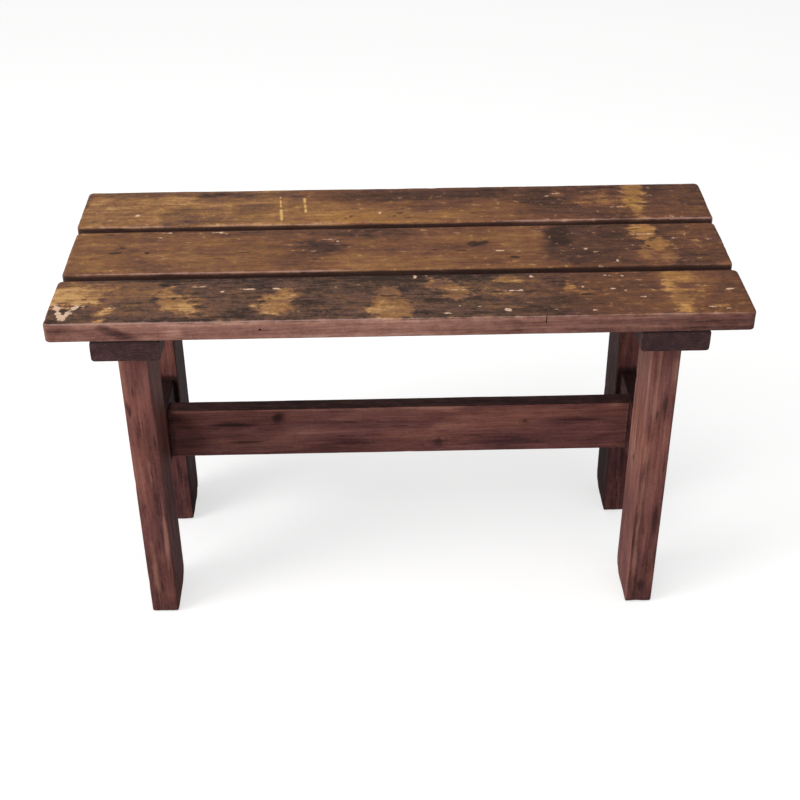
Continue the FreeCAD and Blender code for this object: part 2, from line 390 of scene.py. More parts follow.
# Places worn through to bare wood on the top of each board
TOP_WORN = {
    "rear": [
        (301, 146, 14, 26, 0.82, 4), (297, 120, 15, 14, 0.80), (299, 98, 9, 16, 0.78, -8),
        (301, 80, 7, 14, 0.80), (281, 98, 9, 3.5, 0.84), (246, 128, 14, 7, 0.60, 24),
        (263, 114, 11, 6, 0.62, -12), (236, 107, 8, 5, 0.56), (-62, 84, 10, 4, 0.80),
        (-330, 134, 12, 3, 0.78),
    ],
    "middle": [
        (294, 28, 17, 24, 0.84, -6), (287, 42, 11, 9, 0.90), (306, -2, 17, 19, 0.82, -25),
        (316, -33, 12, 17, 0.66, -20), (291, -22, 8, 12, 0.60), (131, -39, 10, 5, 0.86),
        (345, 26, 7, 3, 0.60), (352, 2, 5, 4, 0.58),
    ],
    "front": [
        (-360, -104, 34, 23, 0.84, 8), (-360, -117, 28, 8, 0.98, 4), (-384, -108, 17, 19, 0.96),
        (-334, -90, 18, 10, 0.70), (-247, -124, 33, 16, 0.68, -50), (-231, -137, 9, 22, 0.83, 6),
        (-322, -137, 10, 3.6, 0.86, 49), (-325, -160, 4, 3, 0.90), (-136, -129, 19, 23, 0.78),
        (-130, -106, 13, 9, 0.70), (-158, -133, 7, 5, 0.86), (-12, -143, 23, 25, 0.66),
        (-14, -112, 15, 14, 0.52), (53, -99, 21, 13, 0.42, -25), (63, -113, 17, 15, 0.69, -45),
        (60, -104, 16, 5, 0.70, -8), (122, -81, 12, 7, 0.56, 10), (113, -111, 8, 5, 0.74),
        (319, -84, 20, 17, 0.84, -6), (306, -100, 10, 12, 0.92), (306, -112, 11, 7, 1.05),
        (314, -131, 8, 20, 0.60, 6), (312, -155, 10, 8, 0.92), (350, -153, 14, 4, 0.90, 8),
        (334, -115, 8, 3, 0.90), (192, -103, 3.5, 9, 0.76, -20), (205, -113, 11, 4, 0.56),
    ],
}

# Dark spots and knots, pale chips, and places chipped down to pale wood
DARK_MARKS = {
    "rear": [
        (-237, 147, 14, 4), (-52, 107, 4, 2.4), (3, 92, 4, 2.6), (6, 104, 2.6, 2), (97, 89, 4.5, 2.4),
        (-62, 80, 2.6, 2), (-55, 84, 2.4, 3), (-3, 84, 2, 3.4), (12, 78, 5, 1.6), (306, 131, 3, 2),
        (294, 118, 2.4, 2), (303, 106, 2, 2.4), (262, 122, 3, 2), (251, 112, 2.4, 2.4),
        (240, 119, 3, 1.6),
    ],
    "middle": [
        (-333, -1, 8, 2.5), (-294, -2, 2.4, 3), (-325, 10, 4, 2), (94, 5, 11, 7), (105, 10, 7, 4),
        (45, -9, 5, 1.3), (74, -12, 8, 1.2), (134, -28, 5, 3), (-210, -22, 9, 1.4), (286, 36, 9, 1.6),
        (-180, -6, 12, 1.2), (303, 14, 4, 2), (296, -6, 3, 2), (310, 28, 2.4, 3),
    ],
    "front": [
        (-250, -112, 4, 3), (-14, -117, 11, 1.8), (212, -120, 6, 3), (-352, -112, 3, 1.6),
        (-266, -84, 5, 3), (-142, -118, 3, 1.6),
    ],
}
PALE_MARKS = {
    "rear": [
        (-370, 105, 3, 3), (-319, 97, 2, 3), (-264, 91, 2.5, 2), (-20, 93, 1.5, 4), (-92, 63, 5, 3),
        (202, 140, 5, 2), (192, 134, 4, 2), (322, 130, 4, 3), (-101, 96, 1.2, 5), (276, 99, 8, 2.5),
    ],
    "middle": [
        (-282, 36, 3.5, 2.5), (-275, 47, 6, 2), (-220, 47, 4.5, 2.5), (-212, 46, 2, 2.5),
        (-82, 24, 7, 1.2), (-71, 19, 1.4, 3.5), (120, -12, 5, 1.6), (206, -11, 2, 2), (221, -12, 2, 2.5),
        (254, -41, 1.5, 5), (296, 24, 13, 2), (345, 22, 1.5, 5), (328, 12, 6, 1.5), (372, 8, 4, 1.5),
    ],
    "front": [
        (-317, -131, 4, 3), (-228, -88, 10, 1.4), (-198, -100, 2.5, 2.5), (-168, -95, 6, 2.6),
        (-137, -95, 5, 2), (66, -105, 9, 1.6), (127, -109, 7, 1.8), (18, -73, 1.5, 4.5),
        (52, -156, 3.5, 3), (65, -140, 1.5, 3), (87, -143, 2.5, 2), (234, -77, 2.5, 2),
        (238, -78, 2.5, 2), (253, -78, 2, 3), (241, -108, 5, 1.6), (252, -113, 2, 2.5),
        (206, -103, 1.5, 4), (170, -152, 3, 1.6), (212, -155, 2.5, 2), (270, -127, 3, 1.8),
        (368, -113, 4, 2), (344, -152, 6, 2), (357, -156, 5, 2), (150, -76, 2, 3), (136, -108, 2.5, 2.5),
    ],
}
CHIPS = {
    "front": [
        (-377, -132, 8, 3.2, -66), (-373, -144, 9, 3.4, -74), (-358, -131, 6, 3.8, 56),
        (-363, -141, 9, 3.6, 70), (-368, -152, 3.8, 6.4), (-349, -127, 2.6, 1.6), (117, -151, 5, 3.4),
    ],
}
PALE_SHARE = 0.8
PALE_STRETCH = (1.3, 0.82)

# Scratches through the stain: start, end and half width in millimetres
SCRATCHES = {
    "rear": [
        ((-140, 75), (-143, 112), 1.8), ((-143, 112), (-145, 144), 1.0),
        ((-111.5, 99), (-114.5, 137), 1.6),
    ],
    "front": [((-352, -118), (-330, -121), 0.5)],
}

# Stain on the front face of the front board, in the same way but with heights; the thin pale band at 445.5
# mm, under the rounded top edge, is a painted highlight
FACE_BASE = 0.66
UNDERSIDE_LEVEL = 0.40
FACE_STAIN = [
    (-370, 438, 72, 40, 0.36, 20), (-100, 438, 210, 40, 0.72, 20), (160, 438, 50, 40, 0.58, 20),
    # The last band on this line is a painted highlight under the rounded top edge
    (260, 438, 60, 40, 0.46, 20), (360, 438, 60, 40, 0.37, 20), (-120, 445.5, 290, 1.8, 0.84, 1.2),
    (-60, 434, 320, 2, 0.62, 1.6), (-310, 438, 20, 5, 0.22, 3, -22), (-247, 438, 12, 8, 0.86, 5),
    (60, 439, 30, 3, 0.82, 3),
]
# Cuts in the front face, a nail hole and a split: middle and half sizes, and their depth
FACE_CUTS = [
    (-153, 438.5, 1.4, 1.4, 5), (158, 445.5, 0.6, 5.5, 1.6),
]

# How pale and rubbed the front top edge of each board is, along X: its paleness is partly a painted
# highlight on the rounded edge
EDGE_WEAR_AND_HIGHLIGHT = {
    "front": [(-400, 0.8), (-330, 1.15), (-100, 1.0), (60, 0.7), (150, 0.8), (400, 0.6)],
    "middle": [(-400, 0.3), (-355, 0.9), (-180, 1.0), (-75, 0.9), (-40, 0.4), (150, 0.35), (400, 0.55)],
    "rear": [
        (-400, 0.3), (-335, 0.8), (-285, 0.8), (-260, 0.4), (-222, 0.7), (-190, 0.5), (-90, 0.7),
        (-50, 0.3), (120, 0.4), (150, 0.9), (390, 1.0),
    ],
}
# How much wider the most rubbed part of that edge has become
EDGE_GROWTH = {"front": 0.0, "middle": 0.45, "rear": 0.6}


def colour(red, green, blue, gain=1.0):
    """A colour given as it shows on a screen, from 0 to 255, in the linear values that nodes take."""
    linear = []
    for part in (red, green, blue):
        share = part / 255
        value = share / 12.92 if share <= 0.04045 else ((share + 0.055) / 1.055) ** 2.4
        linear.append(min(1.0, value * gain))
    return (*linear, 1.0)


def grey(value):
    return (value, value, value, 1)


class Signal:
    """The output of a node, which can be added to and multiplied like a number."""

    def __init__(self, nodes, socket):
        self.nodes, self.socket = nodes, socket

    def __add__(self, other):
        return self.nodes.math("ADD", self, other)

    def __sub__(self, other):
        return self.nodes.math("SUBTRACT", self, other)

    def __rsub__(self, other):
        return self.nodes.math("SUBTRACT", other, self)

    def __mul__(self, other):
        return self.nodes.math("MULTIPLY", self, other)

    __radd__, __rmul__ = __add__, __mul__

    def swing(self, amount):
        """A value from 0 to 1 turned into one from -amount / 2 to amount / 2."""
        return (self - 0.5) * amount

    def step(self, low, high):
        """0 below low, 1 above high and smooth between them."""
        inputs = {"Value": self, "From Min": low, "From Max": high}
        return self.nodes.add("ShaderNodeMapRange", inputs, "Result", interpolation_type="SMOOTHSTEP")


class Nodes:
    """A tree of shader nodes. Each call adds a node and gives back one of its outputs."""

    def __init__(self, owner):
        owner.use_nodes = True
        self.tree = owner.node_tree

    def feed(self, socket, value):
        if isinstance(value, Signal):
            self.tree.links.new(value.socket, socket)
        else:
            socket.default_value = value

    def add(self, kind, inputs, output=0, **settings):
        node = self.tree.nodes.new(kind)
        for key, value in settings.items():
            setattr(node, key, value)
        for key, value in inputs.items():
            self.feed(node.inputs[key], value)
        return Signal(self, node.outputs[output]) if node.outputs else None

    def math(self, operation, first, second=0.0, clamp=False):
        return self.add("ShaderNodeMath", {0: first, 1: second}, operation=operation, use_clamp=clamp)

    def vector(self, operation, first, second=(0, 0, 0), output="Vector"):
        return self.add("ShaderNodeVectorMath", {0: first, 1: second}, output, operation=operation)

    def mix(self, share, first, second, blend="MIX"):
        inputs = {0: share, 6: first, 7: second}
        return self.add("ShaderNodeMix", inputs, 2, data_type="RGBA", blend_type=blend)

    def field(self, name):
        """The numbers that a mesh holds at its points under a name."""
        kind = "ShaderNodeAttribute"
        return self.add(kind, {}, "Fac", attribute_type="GEOMETRY", attribute_name=name)

    def ramp(self, value, stops):
        shade = self.add("ShaderNodeValToRGB", {"Fac": value})
        marks = shade.socket.node.color_ramp.elements
        while len(marks) < len(stops):
            marks.new(1.0)
        for mark, (place, colour_there) in zip(marks, stops):
            mark.position = place
            mark.color = colour_there
        return shade


class Recipe(Nodes):
    """One procedural material. Its shade is the colour so far, and later coats go over it."""

    def __init__(self, name):
        self.material = bpy.data.materials.new(name)
        super().__init__(self.material)
        self.shader = self.tree.nodes["Principled BSDF"]
        self.place = self.add("ShaderNodeTexCoord", {}, "Object")

    def moved(self, scale, shift=(0, 0, 0), turn=(0, 0, 0)):
        inputs = {"Vector": self.place, "Scale": scale, "Location": shift, "Rotation": turn}
        return self.add("ShaderNodeMapping", inputs)

    def noise(self, scale, detail, roughness, distortion=0.0, shift=(0, 0, 0), output="Fac"):
        """Noise whose scale is its cycles in a metre on each axis."""
        inputs = {"Vector": self.moved(scale, shift), "Scale": 1.0, "Detail": detail,
                  "Roughness": roughness, "Distortion": distortion}
        return self.add("ShaderNodeTexNoise", inputs, output)

    def stain(self, level, shades, gain=1.0, places=(0, 1)):
        """Starts the shade from a level of stain, with shades at even steps between two places."""
        shades = [colour(*shade, gain=gain) for shade in shades]
        self.shade = self.ramp(level, list(zip(np.linspace(*places, len(shades)), shades)))

    def cover(self, share, shade):
        """Lays a colour over the shade."""
        self.shade = self.mix(share, self.shade, colour(*shade))

    def tint(self, share, shade):
        """Multiplies the shade by a colour or by a signal."""
        over = shade if isinstance(shade, Signal) else colour(*shade)
        self.shade = self.mix(share, self.shade, over, "MULTIPLY")

    def vary_hue(self, axis, scale, shift, hues):
        """Tints the shade in soft patches by one of two hues."""
        cloud = self.noise(grain_scale(axis, *scale), *HUE_LOOK, shift=shift).step(*HUE_STEP)
        self.tint(1.0, self.mix(cloud, *[colour(*hue) for hue in hues]))

    def finish(self, roughness, gloss, height, depth):
        """Sets the shader from the shade, with bumps as deep as depth, and gives the material."""
        bumps = self.add("ShaderNodeBump", {"Height": height, "Distance": depth, "Strength": 1.0})
        for name, value in (("Base Color", self.shade), ("Roughness", roughness), ("Normal", bumps),
                            ("Specular IOR Level", gloss)):
            self.feed(self.shader.inputs[name], value)
        return self.material


def grain_scale(axis, along, across):
    """Cycles of noise in a metre, with the grain and across it."""
    size = [across, across, across]
    size[axis] = along
    return size


# Growth rings: their spacing, how far they wander, and their darkness over one spacing
RING_SPACING = 3.6 * MM
RING_WARP = 5 * MM
RING_PROFILE = [(0.0, 0.0), (0.45, 0.18), (0.86, 1.0), (1.0, 0.0)]
RING_DARKNESS = 0.04
END_RING_DARKNESS = 0.12
# The noise that bends the rings: cycles in a metre along and across the grain, detail and roughness
RING_BEND = (3.5, 16, 2, 0.5)
# How far a piece's seed moves its grain on each axis, and where its short dashes start and are full
GRAIN_SHIFT = (3.7, 1.3, 2.1)
DASH_STEP = (0.6, 0.68)
# Parts of the figure: cycles in a metre along and across the grain, detail, roughness, distortion
FIGURE = {
    "fibre": (22, 620, 4, 0.6, 0.0),
    "streak": (5, 150, 4, 0.6, 0.4),
    "band": (2.4, 38, 3, 0.5, 0.6),
    "blotch": (11, 24, 5, 0.6, 0.0),
    "mottle": (75, 120, 4, 0.62, 0.0),
    "patch": (20, 84, 4, 0.6, 0.3),
    "grit": (260, 330, 3, 0.6, 0.0),
    "dash": (40, 330, 2, 0.5, 0.0),
}


class Grain:
    """The figure of one piece of softwood: growth rings and the parts named in FIGURE."""

    def __init__(self, recipe, axis, pith, tilt, seed):
        shift = [seed * step for step in GRAIN_SHIFT]
        for part, (along, across, *look) in FIGURE.items():
            setattr(self, part, recipe.noise(grain_scale(axis, along, across), *look, shift=shift))
        self.dash = self.dash.step(*DASH_STEP)
        along, across, *look = RING_BEND
        warp = recipe.noise(grain_scale(axis, along, across), *look, shift=shift, output="Color")
        warp = recipe.vector("SUBTRACT", warp, (0.5, 0.5, 0.5))
        warp = recipe.vector("MULTIPLY", warp, (RING_WARP * 2,) * 3)
        placed = recipe.moved((1, 1, 1), [-part for part in pith], tilt)
        placed = recipe.vector("ADD", placed, warp)
        placed = recipe.vector("MULTIPLY", placed, grain_scale(axis, 0.0, 1.0))
        distance = recipe.vector("LENGTH", placed, output="Value")
        phase = recipe.math("FRACT", recipe.math("DIVIDE", distance, RING_SPACING))
        self.rings = recipe.ramp(phase, [(place, grey(dark)) for place, dark in RING_PROFILE])

    def ringed(self, end):
        """How much the growth rings darken the stain: little along the grain, more on a cut end."""
        return self.rings * (RING_DARKNESS + END_RING_DARKNESS * end)

    def figured(self, base, amounts):
        """A level of stain varied by the named parts of the grain, each by its own amount."""
        return sum((getattr(self, part).swing(amount) for part, amount in amounts.items()), base)

    def relief(self, amounts):
        """The height of the named parts of the grain, each by its own amount."""
        return sum(getattr(self, part) * amount for part, amount in amounts.items())


# Shades of the top's stain at even levels, from the darkest brown to bare gold
TOP_LEVELS = [(54, 38, 32), (89, 63, 53), (112, 77, 59), (132, 90, 60), (156, 111, 72), (188, 142, 97)]
# The pinkish brown stain on the boards' edges, in the same way
SIDE_LEVELS = [(52, 35, 34), (84, 55, 51), (118, 80, 71), (148, 106, 93), (180, 140, 124)]
# The red-brown stain on the frame
FRAME_LEVELS = [(47, 30, 31), (76, 47, 46), (113, 71, 67), (142, 94, 84), (174, 130, 112)]
# The darker, greyer stain on the cleats
CLEAT_LEVELS = [(45, 34, 36), (74, 52, 54), (104, 75, 74), (132, 99, 91), (160, 128, 114)]
TOP_GAIN = 0.97
SIDE_GAIN = 1.15
FRAME_GAIN = 1.15
# How roughness follows the grain, and the soft patches of hue: detail, roughness, and where they change
ROUGHNESS_FIGURE = {"mottle": 0.2}
FRAME_ROUGHNESS_FIGURE = {"mottle": 0.18}
HUE_LOOK = (4, 0.65)
HUE_STEP = (0.36, 0.64)
HUE_SHIFT = 1.9
# Cycles in a metre of those patches, along and across the grain
BOARD_HUE_SCALE = (16, 42)
FRAME_HUE_SCALE = (10, 38)

# Colours that go over the stain of the boards
REDDENED = (255, 216, 192)
ORANGE = (255, 245, 222)
TOP_HUES = ((246, 253, 240), (241, 247, 253))
BOARD_SPECK = (196, 160, 118)
BOARD_PIT = (52, 36, 30)
BOARD_DARK_MARK = (44, 31, 25)
BOARD_CHIP = (205, 174, 149)
BOARD_SCRATCH = (200, 160, 98)
BOARD_CUT_END = (62, 44, 40)
# Painted shade inside the gaps between the boards and in the nail hole
BOARD_GAP_SHADE = (34, 23, 21)
# Pale rubbed edges, partly a painted highlight on their rounding
BOARD_RUBBED_AND_HIGHLIGHT = (172, 136, 124)
# Flecks and pits: cycles in a metre on each axis, and their detail and roughness
FLECK_SCALE = (105, 150, 150)
PIT_SCALE = (140, 260, 260)
FLECK_LOOK = (3, 0.6)
BOARD_BUMP_DEPTH = 0.35 * MM
SCRATCH_FADE = (0.5, 1.4)
TOP_GLOSS = 0.1
# How much each part of the grain varies the stain, the rims of the marks and the height of the wood
TOP_FIGURE = {"fibre": 0.4, "streak": 0.5, "blotch": 0.78, "patch": 0.75, "mottle": 0.72, "grit": 0.5}
EDGE_FIGURE = {"fibre": 0.4, "streak": 0.6, "blotch": 0.5, "mottle": 0.4, "grit": 0.3}
RAGGED_BY = {
    "worn": {"mottle": 1.0, "blotch": 0.6, "patch": 0.5, "grit": 0.4, "streak": 0.4},
    "dark": {"mottle": 1.6}, "pale": {"mottle": 1.8, "grit": 1.2}, "arris": {"streak": 1.0, "mottle": 0.8},
}
BOARD_RELIEF = {"fibre": 0.5, "rings": 0.35, "mottle": 0.45}
# Where each mask starts and where it is full
BOARD_STEPS = {
    "worn": (0.33, 0.7), "fleck": (0.57, 0.68), "fleck_stain": (0.6, 0.3), "calm": (0.35, 0.1),
    "reddened": (0.66, 0.42), "orange": (0.6, 0.8), "speck": (0.66, 0.71), "pit": (0.66, 0.72),
    "dark": (0.4, 0.8), "pale": (0.5, 0.8), "scratch": (0.36, 0.52), "arris": (0.42, 0.85),
}
# How strongly each mark or coat changes the level, the colour or the height
FLECK_LIFT = 0.2
DASH_DROP = 0.16
EDGE_DASH_DROP = 0.14
REDDENED_SHARE = 0.5
SPECK_SHARE = 0.35
SPECK_RED_LIFT = 0.035
PIT_SHARE = 0.55
CHIP_SHARE = 0.55
CHIP_GRIT = 0.6
CUT_END_SHARE = 0.55
# Strength of the pale rubbed edges, partly a painted highlight
RUBBED_AND_HIGHLIGHT_SHARE = 0.6
# Strength of the painted shade in the gaps and the nail hole
GAP_SHADE = 0.88
DARK_STRENGTH = {"front": 0.8, "middle": 0.85, "rear": 0.55}
PIT_DROP = 0.5
DARK_DROP = 0.6
PALE_LIFT = 0.3
# How strongly the figure shows on the top, and how much less where the stain is red or dark
CALM = 1.2
CALM_RED = 0.5
CALM_DARK = 0.3
# How rough the darkest stain is, and how much rougher bare wood is
BOARD_ROUGHNESS = 0.46
BARE_ROUGHNESS = 0.14
# How red the dark stain is along each board: places along X, and a share at each
BOARD_RED = {
    "front": [(100, 0.0), (220, 1.0)],
    "middle": [(-400, 0.5), (0, 0.9), (220, 1.0)],
    "rear": [(-180, 0.1), (-60, 1.0)],
}

# Colours that go over the stain of the frame
FRAME_HUES = ((255, 251, 243), (247, 248, 255))
KNOT_RING = (66, 42, 38)
FRAME_CUT_END = (58, 42, 43)
KNOT_RINGS = 22.0
FRAME_BUMP_DEPTH = 0.32 * MM
FRAME_GLOSS = 0.08
FRAME_ROUGHNESS = 0.5
FRAME_FIGURE = {"fibre": 0.38, "streak": 0.66, "band": 0.45, "blotch": 0.45, "patch": 0.55, "grit": 0.28}
FRAME_RELIEF = {"fibre": 0.55, "rings": 0.4, "streak": 0.4}
FRAME_DASH_DROP = 0.1
FRAME_CUT_END_SHARE = 0.5
KNOT_DROP = 0.5
KNOT_RING_SHARE = 0.25
KNOT_RING_RAGGED = {"blotch": 0.2}
KNOT_RING_STEP = (0.0, 0.9)
KNOT_REACH_STEP = (0.2, 0.6)
# Coats over the frame's stain, in order: the field, how much the grain makes its rim ragged,
# where the coat starts and where it is full, its strength and its colour
FRAME_COATS = [
    ("knot", {"mottle": 0.9}, (0.66, 0.9), 0.7, (54, 37, 35)),
    ("dark", {"patch": 1.2}, (0.5, 0.85), 0.7, (52, 34, 32)),
    # Pale streaks, and painted highlights along some leg arrises and the stretcher's top edge
    ("pale", {"patch": 1.4, "streak": 1.4}, (0.3, 0.95), 0.42, (186, 136, 116)),
    # Pale rubbed arrises, partly a painted highlight along their rounding
    ("arris", {"streak": 2.2}, (0.7, 1.1), 0.22, (158, 118, 100)),
    # Painted shade where pieces meet and under the seat and boards, some dust on the stretcher's top, and a
    # darker band at the feet
    ("shade_and_grime", {"mottle": 0.5}, (0.3, 0.9), 0.85, (38, 28, 28)),
]


def scratch_mask(recipe, start, end, half_width):
    """1 along a scratch on the top between two places in millimetres, 0 away from it."""
    first = Vector((start[0] * MM, start[1] * MM, 0))
    run = Vector((end[0] * MM, end[1] * MM, 0)) - first
    flat = recipe.vector("MULTIPLY", recipe.place, (1, 1, 0))
    away = recipe.vector("SUBTRACT", flat, first)
    share = recipe.vector("DOT_PRODUCT", away, run, "Value") * (1 / run.length_squared)
    share = recipe.math("ADD", share, 0.0, clamp=True)
    on_line = recipe.add("ShaderNodeVectorMath", {0: run, "Scale": share}, operation="SCALE")
    distance = recipe.vector("LENGTH", recipe.vector("SUBTRACT", away, on_line), output="Value")
    return 1.0 - distance.step(*[half_width * MM * share for share in SCRATCH_FADE])


def seat_material(name, pith, tilt, seed):
    """Brown stain worn through to ochre and gold on the top, redder on the edges, with painted shade in the
    gaps and pale rubbed edges that are partly a painted highlight.
    """
    recipe = Recipe("seat_stain_" + name)
    grain = Grain(recipe, X, pith, tilt, seed)
    red, end = recipe.field("red"), recipe.field("end")

    def stepped(signal, mask):
        return signal.step(*BOARD_STEPS[mask])

    def ragged(field):
        return stepped(grain.figured(recipe.field(field), RAGGED_BY[field]), field)

    under = recipe.mix(ragged("worn"), recipe.field("tone"), recipe.field("bare"))
    flecks = stepped(recipe.noise(FLECK_SCALE, *FLECK_LOOK, shift=(0, seed, 0)), "fleck")
    flecks = flecks * stepped(under, "fleck_stain")
    calm = CALM - CALM_RED * red - CALM_DARK * stepped(under, "calm")
    level = under + FLECK_LIFT * flecks - DASH_DROP * grain.dash - RING_DARKNESS * grain.rings
    level = level + grain.figured(0.0, TOP_FIGURE) * calm
    recipe.stain(level, TOP_LEVELS, TOP_GAIN)
    recipe.tint(REDDENED_SHARE * red * stepped(level, "reddened"), REDDENED)
    recipe.tint(red * stepped(level, "orange"), ORANGE)
    recipe.vary_hue(X, BOARD_HUE_SCALE, (0, 0, seed * HUE_SHIFT), TOP_HUES)
    recipe.cover(SPECK_SHARE * stepped(grain.mottle + SPECK_RED_LIFT * red, "speck"), BOARD_SPECK)
    pit = stepped(recipe.noise(PIT_SCALE, *FLECK_LOOK, shift=(seed, 0, 0)), "pit")
    recipe.cover(PIT_SHARE * pit, BOARD_PIT)
    dark, pale = ragged("dark"), ragged("pale")
    recipe.cover(DARK_STRENGTH[name] * dark, BOARD_DARK_MARK)
    recipe.cover(pale * (CHIP_SHARE + CHIP_GRIT * grain.grit), BOARD_CHIP)
    for start, stop, half_width in SCRATCHES.get(name, ()):
        scratch = scratch_mask(recipe, start, stop, half_width)
        recipe.cover(scratch * stepped(grain.mottle, "scratch"), BOARD_SCRATCH)
    top = recipe.shade
    edge = recipe.field("face") - EDGE_DASH_DROP * grain.dash - grain.ringed(end)
    recipe.stain(grain.figured(edge, EDGE_FIGURE), SIDE_LEVELS, SIDE_GAIN)
    recipe.cover(CUT_END_SHARE * end, BOARD_CUT_END)
    # Painted shade inside the gaps between the boards and in the nail hole
    recipe.cover(GAP_SHADE * recipe.field("shade_and_grime"), BOARD_GAP_SHADE)
    recipe.shade = recipe.mix(recipe.field("side"), top, recipe.shade)
    # Pale rubbed edges, partly a painted highlight along the rounded arrises
    recipe.cover(RUBBED_AND_HIGHLIGHT_SHARE * ragged("arris"), BOARD_RUBBED_AND_HIGHLIGHT)
    rough = grain.figured(BOARD_ROUGHNESS + BARE_ROUGHNESS * recipe.field("tone"), ROUGHNESS_FIGURE)
    height = grain.relief(BOARD_RELIEF) - PIT_DROP * pit - DARK_DROP * dark + PALE_LIFT * pale
    return recipe.finish(rough, TOP_GLOSS, height, BOARD_BUMP_DEPTH)


def frame_material(name, axis, pith, tilt, seed, stops):
    """Red-brown stain on planed softwood, with darker streaks, knots, pale rubbed arrises that are partly a
    painted highlight, and painted shade where pieces meet.
    """
    recipe = Recipe("frame_stain_" + name)
    grain = Grain(recipe, axis, pith, tilt, seed)
    end, knot = recipe.field("end"), recipe.field("knot")
    level = recipe.field("tone") - FRAME_DASH_DROP * grain.dash - grain.ringed(end)
    recipe.stain(grain.figured(level, FRAME_FIGURE), stops, FRAME_GAIN)
    recipe.vary_hue(axis, FRAME_HUE_SCALE, (seed * HUE_SHIFT, 0, 0), FRAME_HUES)
    around = recipe.math("SINE", grain.figured(knot, KNOT_RING_RAGGED) * KNOT_RINGS)
    around = around.step(*KNOT_RING_STEP) * knot.step(*KNOT_REACH_STEP)
    recipe.cover(KNOT_RING_SHARE * around, KNOT_RING)
    coats = {}
    for field, ragged, steps, strength, shade in FRAME_COATS:
        coats[field] = grain.figured(recipe.field(field), ragged).step(*steps)
        recipe.cover(strength * coats[field], shade)
    recipe.cover(FRAME_CUT_END_SHARE * end, FRAME_CUT_END)
    rough = grain.figured(FRAME_ROUGHNESS, FRAME_ROUGHNESS_FIGURE)
    height = grain.relief(FRAME_RELIEF) - KNOT_DROP * coats["knot"]
    return recipe.finish(rough, FRAME_GLOSS, height, FRAME_BUMP_DEPTH)


# Noise of the wedges and screws: cycles in a metre on each axis, detail and roughness
PORES = ((900, 900, 900), 3, 0.6)
CLOUD = ((90, 90, 90), 4, 0.6)
RUST = ((700, 700, 700), 4, 0.65)
TURNING = ((2600, 2600, 300), 2, 0.5)
RUST_STEP = (0.48, 0.62)
WEDGE_SHADES = [(64, 44, 36), (128, 92, 66)]
STEEL_COLOUR = (112, 108, 102)
RUST_COLOUR = (92, 54, 34)


def wedge_material():
    """Dark hardwood end grain, polished a little by years of hands."""
    recipe = Recipe("wedge_wood")
    pores, cloud = recipe.noise(*PORES), recipe.noise(*CLOUD)
    recipe.stain(pores.swing(0.8) + cloud, WEDGE_SHADES, places=(0.2, 0.8))
    return recipe.finish(0.48 + cloud.swing(0.2), 0.35, pores, 0.1 * MM)


def screw_material():
    """Steel gone dull, with rust in its slot and round its rim."""
    recipe = Recipe("screw_steel")
    rust, turning = recipe.noise(*RUST).step(*RUST_STEP), recipe.noise(*TURNING)
    recipe.shade = recipe.mix(rust, colour(*STEEL_COLOUR), colour(*RUST_COLOUR))
    recipe.feed(recipe.shader.inputs["Metallic"], 1.0 - rust)
    return recipe.finish(0.38 + 0.4 * rust, 0.4, 0.4 * turning + 0.8 * rust, 0.06 * MM)


def dressed(piece, material, node):
    """Gives a piece its material and body, and lets it stand for its CAD node."""
    piece.data.materials.append(material)
    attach(piece, "root")
    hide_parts(node)


ARRIS_FADE = 3.5 * MM
# How square to a direction a face has to be to start facing it, and to face it in full
END_FACING = (0.5, 0.9)
SIDE_FACING = (0.35, 0.75)
UNDER_FACING = (0.3, 0.9)
GAP_FACING = (0.45, 0.9)


def edge_closeness(points, low, high):
    """1 on the arrises of a block, fading to 0 a few millimetres from them."""
    depth = np.sort(depth_in_box(points, low, high), axis=1)
    return np.exp(-np.clip(depth[:, 1], 0, None) / ARRIS_FADE)


BOARD_SEEDS = {"front": 100, "middle": 120, "rear": 140}
# Where the middle of the tree lay beside each board, and how the board is tilted to it
BOARD_PITH = {
    "front": (0, -0.128, 0.372), "middle": (0, 0.018, 0.352), "rear": (0, 0.132, 0.366),
}
BOARD_TILT = {"front": (0, 0.035, 0.012), "middle": (0, -0.045, -0.01), "rear": (0, 0.03, -0.02)}

# Checks that have opened at the boards' ends: end, place across, length and depth in millimetres
END_CHECKS = {
    "front": [(-1, -104, 46, 2.6), (1, -92, 34, 2.2), (1, -139, 58, 2.8)],
    "middle": [(-1, 21, 62, 3.0), (1, -28, 44, 2.4), (1, 33, 30, 2.0)],
    "rear": [(-1, 104, 52, 2.6), (1, 118, 66, 3.0), (1, 86, 26, 1.8)],
}
# How far the patches wander, in millimetres, and over which lengths along and across the grain
WANDER_X = (7, 34 * MM, 34 * MM)
WANDER_Y = (5, 28 * MM, 28 * MM)
WANDER_Z = (0.8, 30 * MM, 6 * MM)
# How ragged the patches' rims are, over which lengths, and in how many layers of noise
RAGGED = 0.7
RAGGED_LENGTHS = (15 * MM, 9 * MM)
RAGGED_LAYERS = 4
FACE_RAGGED_SHARE = 0.5
CHECK_HALF_WIDTH = 0.7 * MM
CHECK_DROP = (0.85, 0.2)
CHECK_WANDER_FADE = (1.4, 1.0)
CHECK_WANDER = 1.1 * MM
CHECK_WANDER_LENGTH = 11 * MM
CHECK_WANDER_REACH = 7 * MM


def wandered(points, axis, wander, seed):
    """Places along one axis in millimetres, moved about so that the rims of patches wander."""
    amount, along, across = wander
    return points[:, axis] / MM + amount * rough_noise(along_grain(points, X, along, across), seed)


